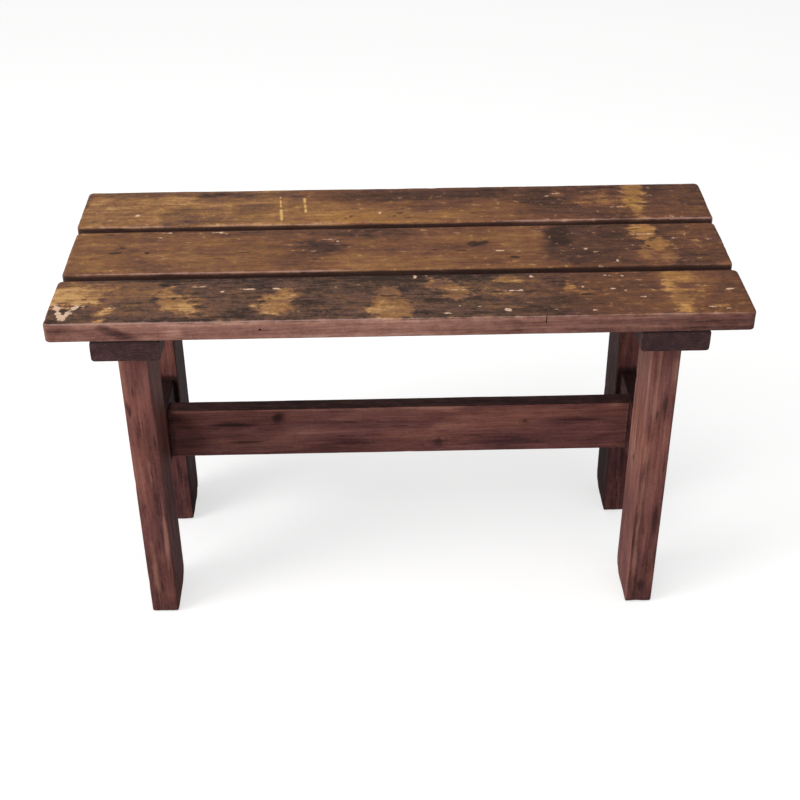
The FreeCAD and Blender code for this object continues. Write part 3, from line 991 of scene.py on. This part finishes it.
def board_checks(points, name, low, high, seed):
    """How deep each point sits in a crack from the end of a board, and how far the crack wanders."""
    depth, aside = np.zeros(len(points)), np.zeros(len(points))
    down = (high[Z] - points[:, Z]) / (high[Z] - low[Z])
    drift = CHECK_WANDER * rough_noise(points / CHECK_WANDER_LENGTH, seed + SEED_STEPS["checks"])
    for end, across, length, deep in END_CHECKS[name]:
        from_end = high[X] - points[:, X] if end > 0 else points[:, X] - low[X]
        open_share = np.clip(1 - from_end / (length * MM), 0, 1)
        open_share = open_share * smooth_step(*CHECK_DROP, down)
        away = np.abs(points[:, Y] - across * MM)
        depth = np.maximum(depth, deep * MM * open_share * np.clip(1 - away / CHECK_HALF_WIDTH, 0, 1))
        near_end = smooth_step(*CHECK_WANDER_FADE, from_end / (length * MM))
        aside += drift * near_end * smooth_step(CHECK_WANDER_REACH, 0, away)
    return depth, aside


# The share of a cut's width and height over which it is deep
CUT_WIDTH_SHARE = 0.5
CUT_HEIGHT_SHARE = 0.9


def face_cuts(points, low):
    """How deep each point of the front face is pushed in by a nail hole or a split."""
    depth = np.zeros(len(points))
    on_face = points[:, Y] < low[Y] + NEAR
    for x, z, half_x, half_z, deep in FACE_CUTS:
        within = np.abs(points[:, X] - x * MM) < half_x * MM * CUT_WIDTH_SHARE + NEAR
        within &= np.abs(points[:, Z] - z * MM) < half_z * MM * CUT_HEIGHT_SHARE
        depth = np.where(within & on_face, deep * MM, depth)
    return depth


def cut_lines(cuts, place, half_size):
    """Grid lines at the edges of each cut in the front face and inside it, in metres."""
    shares = (-1, -CUT_WIDTH_SHARE, CUT_WIDTH_SHARE, 1)
    return [(cut[place] + share * cut[half_size]) * MM for cut in cuts for share in shares]


def seat_board(name, seed):
    node = "seat_board_" + name
    low, high = node_box(node)
    checks = [check[1] * MM + side * CHECK_HALF_WIDTH for check in END_CHECKS[name] for side in (-1, 0, 1)]
    on_front = name == "front"
    lines = [
        grid_lines(low[X], high[X], BOARD_STEP_ALONG, cut_lines(FACE_CUTS, 0, 2) if on_front else ()),
        grid_lines(low[Y], high[Y], BOARD_STEP_ACROSS, checks),
        grid_lines(low[Z], high[Z], BOARD_STEP_ACROSS, cut_lines(FACE_CUTS[:1], 1, 3) if on_front else ()),
    ]
    square, faces = cell_surface(lines, cells_in(lines, low, high))
    flat_x, flat_y = square[:, X] / MM, square[:, Y] / MM
    wear = np.interp(flat_x, *zip(*EDGE_WEAR_AND_HIGHLIGHT[name]))
    to_front = smooth_step(0.8, 0.2, (square[:, Y] - low[Y]) / (high[Y] - low[Y]))
    growth = 1 + EDGE_GROWTH[name] * wear * to_front
    top_arris = changing(BOARD_TOP_ARRIS, square, seed) * growth
    low_arris = changing(BOARD_LOW_ARRIS, square, seed + SEED_STEPS["low_arris"])
    points = eased(square, low, high, Z, BOARD_CORNER, low_arris, top_arris)
    normals = point_normals(points, faces)
    points = weathered(points, faces, X, 1.0, seed)
    crack_depth, crack_aside = board_checks(square, name, low, high, seed)
    points = points - normals * crack_depth[:, None]
    points[:, Y] += crack_aside
    cuts = face_cuts(square, low) if on_front else np.zeros(len(square))
    normals = point_normals(points, faces)
    points[:, Y] += cuts
    x = wandered(square, X, WANDER_X, seed + SEED_STEPS["wander_x"])
    y = wandered(square, Y, WANDER_Y, seed + SEED_STEPS["wander_y"])
    z = wandered(square, Z, WANDER_Z, seed + SEED_STEPS["wander_z"])
    ragged = along_grain(square, X, *RAGGED_LENGTHS)
    ragged = RAGGED * rough_noise(ragged, seed + SEED_STEPS["ragged"], RAGGED_LAYERS)
    through, bare = worn(x, y, TOP_WORN[name])
    face = np.full(len(points), FACE_BASE)
    if on_front:
        face = stained(face, x, z, FACE_STAIN, FACE_RAGGED_SHARE * ragged)
    face += (UNDERSIDE_LEVEL - face) * smooth_step(*UNDER_FACING, -normals[:, Z])
    inner = (square[:, Y] > cad_low[Y] + MM) & (square[:, Y] < cad_high[Y] - MM)
    middle = (low + high) / 2
    front_top = (square[:, Y] < middle[Y]) & (square[:, Z] > middle[Z])
    fields = {
        "tone": stained(np.full(len(points), TOP_BASE[name]), x, y, TOP_STAIN[name], ragged),
        "worn": through,
        "bare": bare,
        "face": face,
        # Painted shade on the faces inside the gaps and in the cuts of the front face
        "shade_and_grime": np.maximum(smooth_step(*GAP_FACING, np.abs(normals[:, Y]) * inner),
                            smooth_step(0, 2 * MM, cuts)),
        "dark": spots(x, y, DARK_MARKS[name]),
        "pale": np.maximum(spots(flat_x, flat_y, CHIPS.get(name, ())),
                           PALE_SHARE * spots(flat_x, flat_y, PALE_MARKS[name], PALE_STRETCH)),
        "red": np.interp(flat_x, *zip(*BOARD_RED[name])),
        "side": smooth_step(*SIDE_FACING, 1 - normals[:, Z]),
        "end": smooth_step(*END_FACING, np.abs(normals[:, X])),
        # Pale rubbed edges, partly a painted highlight, strongest along the front top edge
        "arris": edge_closeness(square, low, high) * np.where(front_top, wear, 0.6),
    }
    piece = make_piece("board_" + name, points, faces, fields)
    material = seat_material(name, BOARD_PITH[name], BOARD_TILT[name], seed)
    dressed(piece, material, node)


SIDES = {"left": -1, "right": 1}
ENDS = {"front": -1, "rear": 1}
WOOD_SEEDS = {name: 40 + 9 * place for place, name in enumerate((
    "leg_front_left", "leg_front_right", "leg_rear_left", "leg_rear_right",
    "cleat_left", "cleat_right", "rail_left", "rail_right", "stretcher",
))}

# Level of the stain down each leg, at the floor and then at even heights up to the cleat
LEG_LEVELS = {
    "leg_front_left": (0.38, 0.39, 0.42, 0.48, 0.52, 0.62, 0.68),
    "leg_front_right": (0.31, 0.33, 0.40, 0.55, 0.50, 0.58, 0.57),
    "leg_rear_left": (0.40, 0.42, 0.46, 0.46, 0.52, 0.60, 0.52),
    "leg_rear_right": (0.31, 0.33, 0.37, 0.43, 0.50, 0.50, 0.46),
}
# How much lighter the stain is made on the side of each leg that faces the middle of the bench: painted
# light above 0, painted shade below 0
INNER_FACE_LIGHT_AND_SHADE = {
    "leg_front_left": 0.0, "leg_front_right": 0.23, "leg_rear_left": -0.24, "leg_rear_right": -0.26,
}
# The rails' levels of stain, kept darker than the legs as painted shade on their inner faces under the
# seat, the left rail darker still
RAIL_SHADED_LEVELS = {"left": 0.14, "right": 0.24}
CLEAT_LEVEL = 0.34
STRETCHER_BASE = 0.555
STRETCHER_DRIFT_X = (12, 18 * MM, 18 * MM)
STRETCHER_DRIFT_Z = (2, 18 * MM, 18 * MM)
STRETCHER_RAGGED = 0.5
STRETCHER_RAGGED_LENGTHS = (24 * MM, 5 * MM)

# Painted shade where two pieces meet, on the tops of the rails and the stretcher under the seat (with some
# dust on the stretcher) and along the tops of the cleats under the boards, and a darker band along the
# feet: how strong each is, and how far it reaches from where two pieces meet
JOINT_SHADE = 0.9
CLEAT_TOP_SHADOW = 0.9
FOOT_DARKENING = 0.5
RAIL_TOP_SHADE = 0.8
TENON_SHADE = 0.7
STRETCHER_TOP_SHADE_AND_DUST = 0.88
STRETCHER_END_SHADE = (0.7, 0.4)
FOOT_DARKENING_REACH = 14 * MM
LEG_SHADE_REACH = 16 * MM
RAIL_SHADE_REACH = 22 * MM
STRETCHER_SHADE_REACH = 9 * MM
TENON_SHADE_REACH = 4 * MM
CLEAT_SHADOW_REACH = (5 * MM, 1 * MM)
STRETCHER_END_REACH = (15 * MM, 2 * MM)
# How square to a direction a face has to be to start facing it, and to face it in full
JOINT_FACING = (0.6, 0.95)
INNER_FACING = (0.3, 0.8)
STRETCHER_FACING = (0.0, -0.6)
RAIL_TOP_FACING = (0.5, 0.9)
STRETCHER_TOP_FACING = (0.6, 0.9)

# Where the middle of the tree lay beside each kind of timber, and how the timber is tilted to it
PITH = {
    "leg": (0, 30 * MM, 0), "rail": (30 * MM, 0, -70 * MM),
    "stretcher": (0, 50 * MM, 130 * MM), "cleat": (12 * MM, 0, -40 * MM),
}
LEG_PITH_ASIDE = 46 * MM
TILT = {
    "leg": (0.02, 0.035, 0), "rail": (0.03, 0, 0.02),
    "stretcher": (0, 0.03, 0.02), "cleat": (0.02, 0, -0.03),
}
# How much finer the wear of a foot's edge is than that of the other edges, and how far a mark reaches
FOOT_WEAR_SCALE = 3
MARK_REACH = 3

# Knots, dark flecks and pale streaks in the frame, some of the pale ones painted highlights along arrises:
# middle and half sizes in millimetres
KNOTS = {
    "stretcher": [
        ((-153, -11, 216), (8, 9, 5)), ((49, -11, 176), (11, 9, 8)), ((160, -11, 204), (7, 9, 5)),
    ],
    "leg_front_right": [((286, -92, 205), (9, 6, 7))],
    "leg_rear_left": [((-323, 108, 236), (9, 7, 8))],
    "leg_rear_right": [((323, 84, 118), (9, 6, 9))],
    "rail_left": [((-290, 34, 205), (9, 7, 6))],
    "rail_right": [((290, -30, 188), (9, 6, 6))],
}
DARK_WOOD = {
    "leg_front_left": [
        ((-314, -130, 309), (1.6, 4, 8)), ((-307, -130, 337), (1.4, 4, 9)),
        ((-316, -130, 318), (1.2, 4, 5)), ((-300, -130, 392), (5, 4, 4)),
        ((-311, -130, 171), (1.6, 4, 7)), ((-303, -130, 46), (1.4, 4, 9)),
        ((-296, -130, 262), (1.2, 4, 22)),
    ],
    "leg_front_right": [
        ((308, -130, 305), (4, 4, 16)), ((300, -130, 290), (1.6, 4, 9)), ((312, -130, 135), (4, 4, 20)),
        ((302, -130, 30), (5, 4, 9)), ((315, -130, 214), (1.4, 4, 12)),
    ],
    "leg_rear_left": [((-306, 58, 118), (2, 4, 9)), ((-299, 58, 92), (1.4, 4, 10))],
    "leg_rear_right": [((304, 58, 92), (3, 4, 14)), ((316, 58, 50), (3, 4, 9))],
    "stretcher": [
        ((-196, -11, 180), (18, 4, 1.6)), ((-60, -11, 208), (20, 4, 1.4)),
        ((232, -11, 205), (26, 4, 1.6)), ((-214, -11, 207), (22, 4, 1.8)),
        ((96, -11, 184), (22, 4, 1.4)),
    ],
}
PALE_WOOD_AND_HIGHLIGHTS = {
    "leg_front_left": [
        # The first mark on the next line runs along the inner front arris as a painted highlight; the rest
        # are pale streaks
        ((-291, -130, 120), (2.2, 3, 36)), ((-318, -130, 350), (3.4, 3, 20)),
        ((-313, -130, 386), (4, 3, 8)), ((-309, -130, 64), (2, 3, 22)),
        ((-299, -130, 214), (1.4, 3, 22)),
    ],
    "leg_front_right": [
        # The four marks beside the inner front arris, down to 110 mm, are a painted highlight; the last is
        # a pale streak
        ((297, -130, 372), (1.7, 4, 26)), ((294.5, -130, 300), (1.9, 4, 28)),
        ((293.5, -130, 215), (1.7, 4, 36)), ((292, -129, 110), (2, 4, 44)),
        ((316, -130, 356), (2, 4, 12)),
    ],
    "stretcher": [
        # The two long marks at 228 mm run along the top front arris as a painted highlight; the short one
        # is a chip
        ((276, -10, 228), (5, 5, 2)), ((60, -11, 228), (60, 3, 1)), ((-120, -11, 228), (70, 3, 1)),
    ],
}
# Stain on the front of the stretcher, with heights; its last row is a painted highlight along the top edge
STRETCHER_STAIN = [
    (-185, 192, 110, 34, 0.64, 24), (-50, 192, 60, 34, 0.60, 20), (-275, 195, 25, 45, 0.46, 16),
    (-210, 207.5, 25, 4.5, 0.30, 4), (-155, 217, 6, 8, 0.30, 5), (-130, 195, 22, 10, 0.64, 8),
    (-55, 197, 46, 8, 0.66, 8), (-75, 175, 55, 10, 0.42, 8), (45, 211, 16, 4, 0.36, 4),
    (100, 203, 50, 13, 0.66, 10), (135, 177, 60, 12, 0.42, 8), (218, 205, 43, 5, 0.34, 4),
    # A painted highlight along the rounded top front edge
    (0, 227, 290, 2.5, 0.68, 2),
]


def carve(low, high, axis, added, cut):
    """A block with boxes added and boxes cut out, as grid points and faces. Its grain runs on the axis."""
    low_all = np.min([low] + [box[0] for box in added], axis=0)
    high_all = np.max([high] + [box[1] for box in added], axis=0)
    lines = []
    for along in (X, Y, Z):
        step = STEP_ALONG if along == axis else STEP_ACROSS
        marks = sorted({corner[along] for box in added + cut for corner in box})
        inner = [mark for mark in marks if low_all[along] < mark < high_all[along]]
        row = grid_lines(low[along], high[along], step, inner)
        for mark in [end for end in (low_all[along], high_all[along]) if end not in row]:
            nearest = row[np.argmin(np.abs(row - mark))]
            count = max(2, round(abs(mark - nearest) / step) + 1)
            row = np.union1d(row, np.linspace(nearest, mark, count))
        lines.append(row)
    filled = cells_in(lines, low, high)
    for box in added:
        filled |= cells_in(lines, *box)
    for box in cut:
        filled &= ~cells_in(lines, *box)
    return cell_surface(lines, filled)


def centred(middle, size):
    """A box from its middle and its size."""
    middle, size = np.array(middle), np.array(size)
    return middle - size / 2, middle + size / 2


def with_room(tenon):
    """The size of the mortise for a tenon."""
    return tenon[0] + 2 * JOINT_ROOM, tenon[1] + 2 * JOINT_ROOM


def spread(box, margin):
    return box[0] - margin, box[1] + margin


class Timber:
    """A piece of the frame on its way from a block to a dressed mesh. Its grain runs on its axis."""

    def __init__(self, node, axis):
        self.node, self.axis, self.seed = node, axis, WOOD_SEEDS[node]
        self.kind = node.split("_")[0]
        self.low, self.high = node_box(node)
        self.ends = self.low[axis], self.high[axis]

    def between(self, low_shoulder, high_shoulder):
        """Leaves the tenons out of the block, and gives the boxes that they lie in."""
        self.low[self.axis], self.high[self.axis] = low_shoulder, high_shoulder
        boxes = []
        for inner, outer in ((high_shoulder, self.ends[1]), (low_shoulder, self.ends[0])):
            near, far = self.low.copy(), self.high.copy()
            near[self.axis], far[self.axis] = sorted((inner, outer))
            boxes.append((near, far))
        return boxes

    def cut(self, added, removed):
        self.square, self.faces = carve(self.low, self.high, self.axis, added, removed)

    def rounded(self, arris, low_arris=0.0, high_arris=0.0):
        arris = changing(arris, self.square, self.seed)
        self.points = eased(self.square, self.low, self.high, self.axis, arris, low_arris, high_arris)

    def wear(self, joints):
        """Weathers the open surface, and leaves the faces of joints as they are."""
        keep = np.ones(len(self.square))
        for joint in joints:
            depth = depth_in_box(self.square, *spread(joint, MM)).min(axis=1)
            keep = np.minimum(keep, smooth_step(0.0, MM, -depth))
        self.points = weathered(self.points, self.faces, self.axis, keep, self.seed)
        self.normals = point_normals(self.points, self.faces)

    def near(self, low, high, reach):
        """1 on a box, fading to 0 at the reach from it."""
        outside = np.clip(-depth_in_box(self.square, np.array(low), np.array(high)), 0, None)
        return smooth_step(reach, 0, np.linalg.norm(outside, axis=1))

    def marks(self, table):
        """How near each point is to a knot, fleck or streak of a table."""
        found = np.zeros(len(self.square))
        for middle, half in table.get(self.node, ()):
            away = np.linalg.norm((self.square - np.array(middle) * MM) / (np.array(half) * MM), axis=1)
            found = np.maximum(found, np.clip(1 - away / MARK_REACH, 0, 1))
        return found

    def finish(self, tone, shade_and_grime, heart, stops=FRAME_LEVELS, slot="frame_wood", cutter=None):
        """Makes the piece. The middle of its tree is measured from the place called heart."""
        fields = {
            "tone": np.broadcast_to(tone, len(self.square)),
            "end": smooth_step(*END_FACING, np.abs(self.normals[:, self.axis])),
            # Closeness to the arrises, which carries the pale rubbed arrises, partly a painted highlight
            "arris": edge_closeness(self.square, self.low, self.high),
            "knot": self.marks(KNOTS),
            "dark": self.marks(DARK_WOOD),
            "pale": self.marks(PALE_WOOD_AND_HIGHLIGHTS),
            # Painted shade where pieces meet and under the seat, some dust, and a darker band at the feet
            "shade_and_grime": shade_and_grime,
        }
        piece = make_piece(self.node + "_wood", self.points, self.faces, fields)
        if cutter:
            cut_away(piece, cutter)
        pith = np.array(heart) + PITH[self.kind]
        material = frame_material(self.node, self.axis, pith, TILT[self.kind], self.seed, stops)
        dressed(piece, material, self.node)


def heel_rounded(points, low, high):
    """Wears the lower rear edge of a leg round."""
    back = points[:, Y] - (high[Y] - HEEL_RADIUS)
    down = low[Z] + HEEL_RADIUS - points[:, Z]
    hit = (back > 0) & (down > 0)
    reach = np.maximum(np.hypot(back, down), NEAR)
    pull = np.where(hit, 1 - np.maximum(back, down) / reach, 0)
    return points + np.stack([0 * pull, -back * pull, down * pull], axis=1)


def leg_tone(wood):
    """The level of stain on a leg by height, with painted light and shade on the face that looks inward."""
    row = LEG_LEVELS[wood.node]
    height = np.clip(wood.square[:, Z] / wood.high[Z], 0, 1)
    inward = wood.normals[:, X] * (-1 if wood.node.endswith("right") else 1)
    # Painted light on the inward face where the number is above 0, painted shade where it is below 0
    change = INNER_FACE_LIGHT_AND_SHADE[wood.node] * smooth_step(*INNER_FACING, inward)
    return np.interp(height, np.linspace(0, 1, len(row)), row) + change


def leg(end_name, side_name):
    wood = Timber("leg_" + end_name + "_" + side_name, Z)
    low, high = wood.low, wood.high
    top = high[Z]
    high[Z] = shoulder = node_box("cleat_" + side_name)[0][Z]
    rail_low, rail_high = node_box("rail_" + side_name)
    x, y = (low[:2] + high[:2]) / 2
    tenon = centred((x, y, (shoulder + top) / 2), (*LEG_TENON, top - shoulder))
    kerf_size = (LEG_TENON[0] + 2 * OVERSHOOT, KERF_WIDTH, KERF_DEPTH)
    kerf = centred((x, y, top - KERF_DEPTH / 2), kerf_size)
    mortise_width, mortise_height = with_room(RAIL_TENON)
    mortise_size = (mortise_width, 2 * (rail_high[Y] + RAIL_MORTISE_TIP_ROOM), mortise_height)
    mortise = centred((x, 0, (rail_low[Z] + rail_high[Z]) / 2), mortise_size)
    wood.cut([tenon], [kerf, mortise])
    worn_foot = wood.square * FOOT_WEAR_SCALE
    wood.rounded(LEG_ARRIS, changing(FOOT_ARRIS, worn_foot, wood.seed + SEED_STEPS["foot"]))
    wood.points = heel_rounded(wood.points, low, high)
    above_shoulder = (np.array([low[X], low[Y], shoulder]), np.array([high[X], high[Y], top]))
    wood.wear([mortise, spread(above_shoulder, MM)])
    # Painted shade on the faces beside the rail, and a darker band along the foot
    to_rail = wood.near(rail_low, rail_high, LEG_SHADE_REACH)
    to_rail *= smooth_step(*JOINT_FACING, np.abs(wood.normals[:, Y]))
    on_foot = smooth_step(FOOT_DARKENING_REACH, 0, wood.square[:, Z])
    shade_and_grime = np.maximum(FOOT_DARKENING * on_foot, JOINT_SHADE * to_rail)
    wood.finish(leg_tone(wood), shade_and_grime, (x - LEG_PITH_ASIDE * SIDES[side_name], y, 0))


def rail(side_name):
    wood = Timber("rail_" + side_name, Y)
    low, high = wood.low, wood.high
    middle = (low + high) / 2
    tenon = centred(middle, (RAIL_TENON[0], high[Y] - low[Y], RAIL_TENON[1]))
    shoulder = node_box("leg_rear_" + side_name)[0][Y]
    joints = wood.between(-shoulder, shoulder)
    thickness, height = STRETCHER_BODY
    mortise_size = (high[X] - low[X] + 2 * OVERSHOOT, *with_room(STRETCHER_TENON))
    mortise = centred((middle[X], 0, low[Z] + height / 2), mortise_size)
    wood.cut([tenon], [mortise])
    wood.rounded(FRAME_ARRIS)
    wood.wear(joints + [mortise])
    # Painted shade beside the legs, round the stretcher and its tenon, and over the top under the seat
    to_legs = smooth_step(RAIL_SHADE_REACH, 0, shoulder - np.abs(wood.square[:, Y]))
    to_stretcher = wood.near([-high[X], -thickness / 2, low[Z]], [high[X], thickness / 2, low[Z] + height],
                             STRETCHER_SHADE_REACH)
    to_stretcher *= smooth_step(*STRETCHER_FACING, SIDES[side_name] * wood.normals[:, X])
    round_tenon = TENON_SHADE * wood.near(*mortise, TENON_SHADE_REACH)
    on_top = RAIL_TOP_SHADE * smooth_step(*RAIL_TOP_FACING, wood.normals[:, Z])
    shade_and_grime = JOINT_SHADE * np.maximum.reduce([to_legs, to_stretcher, round_tenon, on_top])
    wood.finish(RAIL_SHADED_LEVELS[side_name], shade_and_grime, (middle[X], 0, middle[Z]))


def stretcher():
    wood = Timber("stretcher", X)
    low, high = wood.low, wood.high
    rail_low = node_box("rail_right")[0]
    low[Z], high[Z] = rail_low[Z], rail_low[Z] + STRETCHER_BODY[1]
    middle = (low + high) / 2
    tenon = centred(middle, (high[X] - low[X], *STRETCHER_TENON))
    kerf_size = (KERF_DEPTH, KERF_WIDTH, STRETCHER_TENON[1] + 2 * OVERSHOOT)
    kerf_x = high[X] - KERF_DEPTH / 2
    kerfs = [centred((side * kerf_x, middle[Y], middle[Z]), kerf_size) for side in SIDES.values()]
    joints = wood.between(-rail_low[X], rail_low[X])
    wood.cut([tenon], kerfs)
    wood.rounded(FRAME_ARRIS)
    wood.wear(joints)
    x = wandered(wood.square, X, STRETCHER_DRIFT_X, wood.seed + SEED_STEPS["drift"])
    z = wandered(wood.square, Z, STRETCHER_DRIFT_Z, wood.seed + SEED_STEPS["drift"])
    ragged = along_grain(wood.square, X, *STRETCHER_RAGGED_LENGTHS)
    ragged = STRETCHER_RAGGED * rough_noise(ragged, wood.seed + SEED_STEPS["ragged"])
    tone = stained(np.full(len(x), STRETCHER_BASE), x, z, STRETCHER_STAIN, ragged)
    # Painted shade at the ends beside the rails, and on the top under the seat, with some dust there
    to_rails = smooth_step(*STRETCHER_END_REACH, high[X] - np.abs(wood.square[:, X]))
    to_rails *= np.where(wood.square[:, X] < 0, *STRETCHER_END_SHADE)
    on_top = STRETCHER_TOP_SHADE_AND_DUST * smooth_step(*STRETCHER_TOP_FACING, wood.normals[:, Z])
    wood.finish(tone, JOINT_SHADE * np.maximum(on_top, to_rails), (0, 0, 0))


def screw_places(side_name):
    """Where the screws pass through a cleat, two for each board, set corner to corner."""
    cleat_low, cleat_high = node_box("cleat_" + side_name)
    leg_low, leg_high = node_box("leg_front_" + side_name)
    middle = (cleat_low[X] + cleat_high[X]) / 2
    offset = (leg_high[X] - leg_low[X] + cleat_high[X] - cleat_low[X]) / 4
    found = []
    for name in BOARD_SEEDS:
        low, high = node_box("seat_board_" + name)
        spread = (high[Y] - low[Y]) * SCREW_SPREAD_SHARE
        across = (high[Y] + low[Y]) / 2
        found += [(middle - offset, across - spread), (middle + offset, across + spread)]
    return found


def countersink_cutter(places, bottom):
    """All the countersinks and pilot holes of a cleat as one mesh."""
    head, shank = SCREW_HEAD_RADIUS + COUNTERSINK_ROOM, SCREW_SHANK_RADIUS + COUNTERSINK_ROOM
    rows = [(head, -MM), (head, 0), (shank, SCREW_HEAD_HEIGHT), (shank, SCREW_LENGTH)]
    count = COUNTERSINK_SIDES
    points, faces = [], []
    for x, y in places:
        first = len(points)
        for radius, height in rows:
            for side in range(count):
                angle = 2 * math.pi * side / count
                points.append((x + radius * math.cos(angle), y + radius * math.sin(angle), bottom + height))
        for base in range(first, first + (len(rows) - 1) * count, count):
            for side in range(count):
                after = (side + 1) % count
                faces.append((base + side, base + after, base + count + after, base + count + side))
        faces.append(tuple(range(first + count - 1, first - 1, -1)))
        faces.append(tuple(range(len(points) - count, len(points))))
    mesh = bpy.data.meshes.new("countersinks")
    mesh.from_pydata(points, [], faces)
    return linked("countersinks", mesh)


def cut_away(piece, cutter):
    """Takes the cutter out of the piece for good."""
    change = piece.modifiers.new("cut", "BOOLEAN")
    change.operation = "DIFFERENCE"
    change.solver = "EXACT"
    change.object = cutter
    bpy.context.view_layer.update()
    seen = piece.evaluated_get(bpy.context.evaluated_depsgraph_get())
    mesh = bpy.data.meshes.new_from_object(seen)
    piece.modifiers.clear()
    piece.data = mesh
    bpy.data.objects.remove(cutter)


def cleat(side_name):
    wood = Timber("cleat_" + side_name, Y)
    low, high = wood.low, wood.high
    middle = (low + high) / 2
    mortises = []
    for end_name in ENDS:
        leg_low, leg_high = node_box("leg_" + end_name + "_" + side_name)
        x, y = (leg_low[:2] + leg_high[:2]) / 2
        size = (*with_room(LEG_TENON), high[Z] - low[Z] + 2 * OVERSHOOT)
        mortises.append(centred((x, y, middle[Z]), size))
    wood.cut([], mortises)
    wood.rounded(CLEAT_ARRIS, CLEAT_END_ARRIS, CLEAT_END_ARRIS)
    wood.wear(mortises)
    # Painted shadow along the top of the cleat, under the boards
    shade_and_grime = CLEAT_TOP_SHADOW * smooth_step(*CLEAT_SHADOW_REACH, high[Z] - wood.square[:, Z])
    cutter = countersink_cutter(screw_places(side_name), low[Z])
    wood.finish(CLEAT_LEVEL, shade_and_grime, (middle[X], 0, low[Z]), CLEAT_LEVELS, "cleat_wood", cutter)


def carried_over(node, material):
    """A CAD node whose shape is right: it stays and takes a material."""
    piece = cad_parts[node]
    piece.data.materials.clear()
    piece.data.materials.append(material)


# Camera, at the photograph's place and angle
CAMERA_PLACE = (-0.0276, -1.4574, 1.2056)
CAMERA_YAW = math.radians(1.14)
CAMERA_PITCH = math.radians(-33.71)
CAMERA_ROLL = math.radians(-0.45)
CAMERA_LENS = 62.19
CAMERA_SENSOR = 36


def add_camera():
    forward = Vector((
        math.sin(CAMERA_YAW) * math.cos(CAMERA_PITCH),
        math.cos(CAMERA_YAW) * math.cos(CAMERA_PITCH),
        math.sin(CAMERA_PITCH),
    ))
    level = Vector((math.cos(CAMERA_YAW), -math.sin(CAMERA_YAW), 0))
    up = level.cross(forward)
    right = math.cos(CAMERA_ROLL) * level + math.sin(CAMERA_ROLL) * up
    top = math.cos(CAMERA_ROLL) * up - math.sin(CAMERA_ROLL) * level
    camera = linked("camera", bpy.data.cameras.new("camera"))
    camera.data.lens = CAMERA_LENS
    camera.data.sensor_width = CAMERA_SENSOR
    turn = Matrix((right, top, -forward)).transposed().to_4x4()
    camera.matrix_world = Matrix.Translation(CAMERA_PLACE) @ turn
    bpy.context.scene.camera = camera


# The floor: its half width, the grey that lights the bench, and the grey and lift that the camera sees
FLOOR_HALF = 14.0
FLOOR_DROP = 0.2 * MM
FLOOR_BOUNCE = 0.36
FLOOR_SEEN = 0.5
FLOOR_LIFT = 0.6
# The studio's light all round: its weakest and strongest, and the direction of the strongest
WORLD_LOW = 0.22
WORLD_HIGH = 0.66
WORLD_SOURCE = (-0.72, -0.42, 0.55)


def add_floor():
    """A plain pale floor: the camera sees it near white, with the bench's soft shadow."""
    corners = [(-1, -1), (1, -1), (1, 1), (-1, 1)]
    mesh = bpy.data.meshes.new("floor")
    points = [(x * FLOOR_HALF, y * FLOOR_HALF, -FLOOR_DROP) for x, y in corners]
    mesh.from_pydata(points, [], [(0, 1, 2, 3)])
    floor = linked("floor", mesh)
    material = bpy.data.materials.new("floor")
    mesh.materials.append(material)
    nodes = Nodes(material)
    nodes.tree.nodes.clear()
    bounce = nodes.add("ShaderNodeBsdfDiffuse", {"Color": grey(FLOOR_BOUNCE)})
    seen = nodes.add("ShaderNodeBsdfDiffuse", {"Color": grey(FLOOR_SEEN)})
    lift = nodes.add("ShaderNodeEmission", {"Strength": FLOOR_LIFT})
    pale = nodes.add("ShaderNodeAddShader", {0: seen, 1: lift})
    to_camera = nodes.add("ShaderNodeLightPath", {}, "Is Camera Ray")
    shown = nodes.add("ShaderNodeMixShader", {0: to_camera, 1: bounce, 2: pale})
    nodes.add("ShaderNodeOutputMaterial", {"Surface": shown})


def add_world():
    """Even studio light from all round, and a white background for the camera."""
    world = bpy.data.worlds.new("studio")
    bpy.context.scene.world = world
    nodes = Nodes(world)
    nodes.tree.nodes.clear()
    direction = nodes.add("ShaderNodeTexCoord", {}, "Generated")
    toward = nodes.vector("DOT_PRODUCT", direction, WORLD_SOURCE, "Value")
    kind = "ShaderNodeMapRange"
    light = nodes.add(kind, {"Value": toward, "From Min": -1.0, "To Min": WORLD_LOW, "To Max": WORLD_HIGH})
    to_camera = nodes.add("ShaderNodeLightPath", {}, "Is Camera Ray")
    strength = nodes.add(kind, {"Value": to_camera, "To Min": light, "To Max": 1.0})
    sky = nodes.add("ShaderNodeBackground", {"Color": grey(1), "Strength": strength})
    nodes.add("ShaderNodeOutputWorld", {"Surface": sky})


# Soft lamps: name, place, size in metres, strength in watts and colour
LAMPS = [
    ("window", (-2.6, -1.3, 1.6), 1.7, 60, (1.0, 0.98, 0.97)),
    ("ceiling", (0.0, -0.7, 2.6), 2.2, 30, (1.0, 0.99, 0.97)),
]
LAMP_AIM = Vector((0, 0, 0.35))


def add_lamps():
    for name, place, size, strength, tint in LAMPS:
        lamp = bpy.data.lights.new(name, "AREA")
        lamp.shape = "DISK"
        lamp.size = size
        lamp.energy = strength
        lamp.color = tint
        holder = linked(name, lamp)
        holder.location = place
        holder.rotation_mode = "QUATERNION"
        holder.rotation_quaternion = (LAMP_AIM - Vector(place)).to_track_quat("-Z", "Y")


for board_name, board_seed in BOARD_SEEDS.items():
    seat_board(board_name, board_seed)
for side_name in SIDES:
    cleat(side_name)
    rail(side_name)
    for end_name in ENDS:
        leg(end_name, side_name)
stretcher()
wood_plug = wedge_material()
carried_over("leg_wedges", wood_plug)
carried_over("stretcher_wedges", wood_plug)
carried_over("seat_screws", screw_material())
add_floor()
add_world()
add_lamps()
add_camera()
bpy.context.scene.view_settings.view_transform = "Standard"
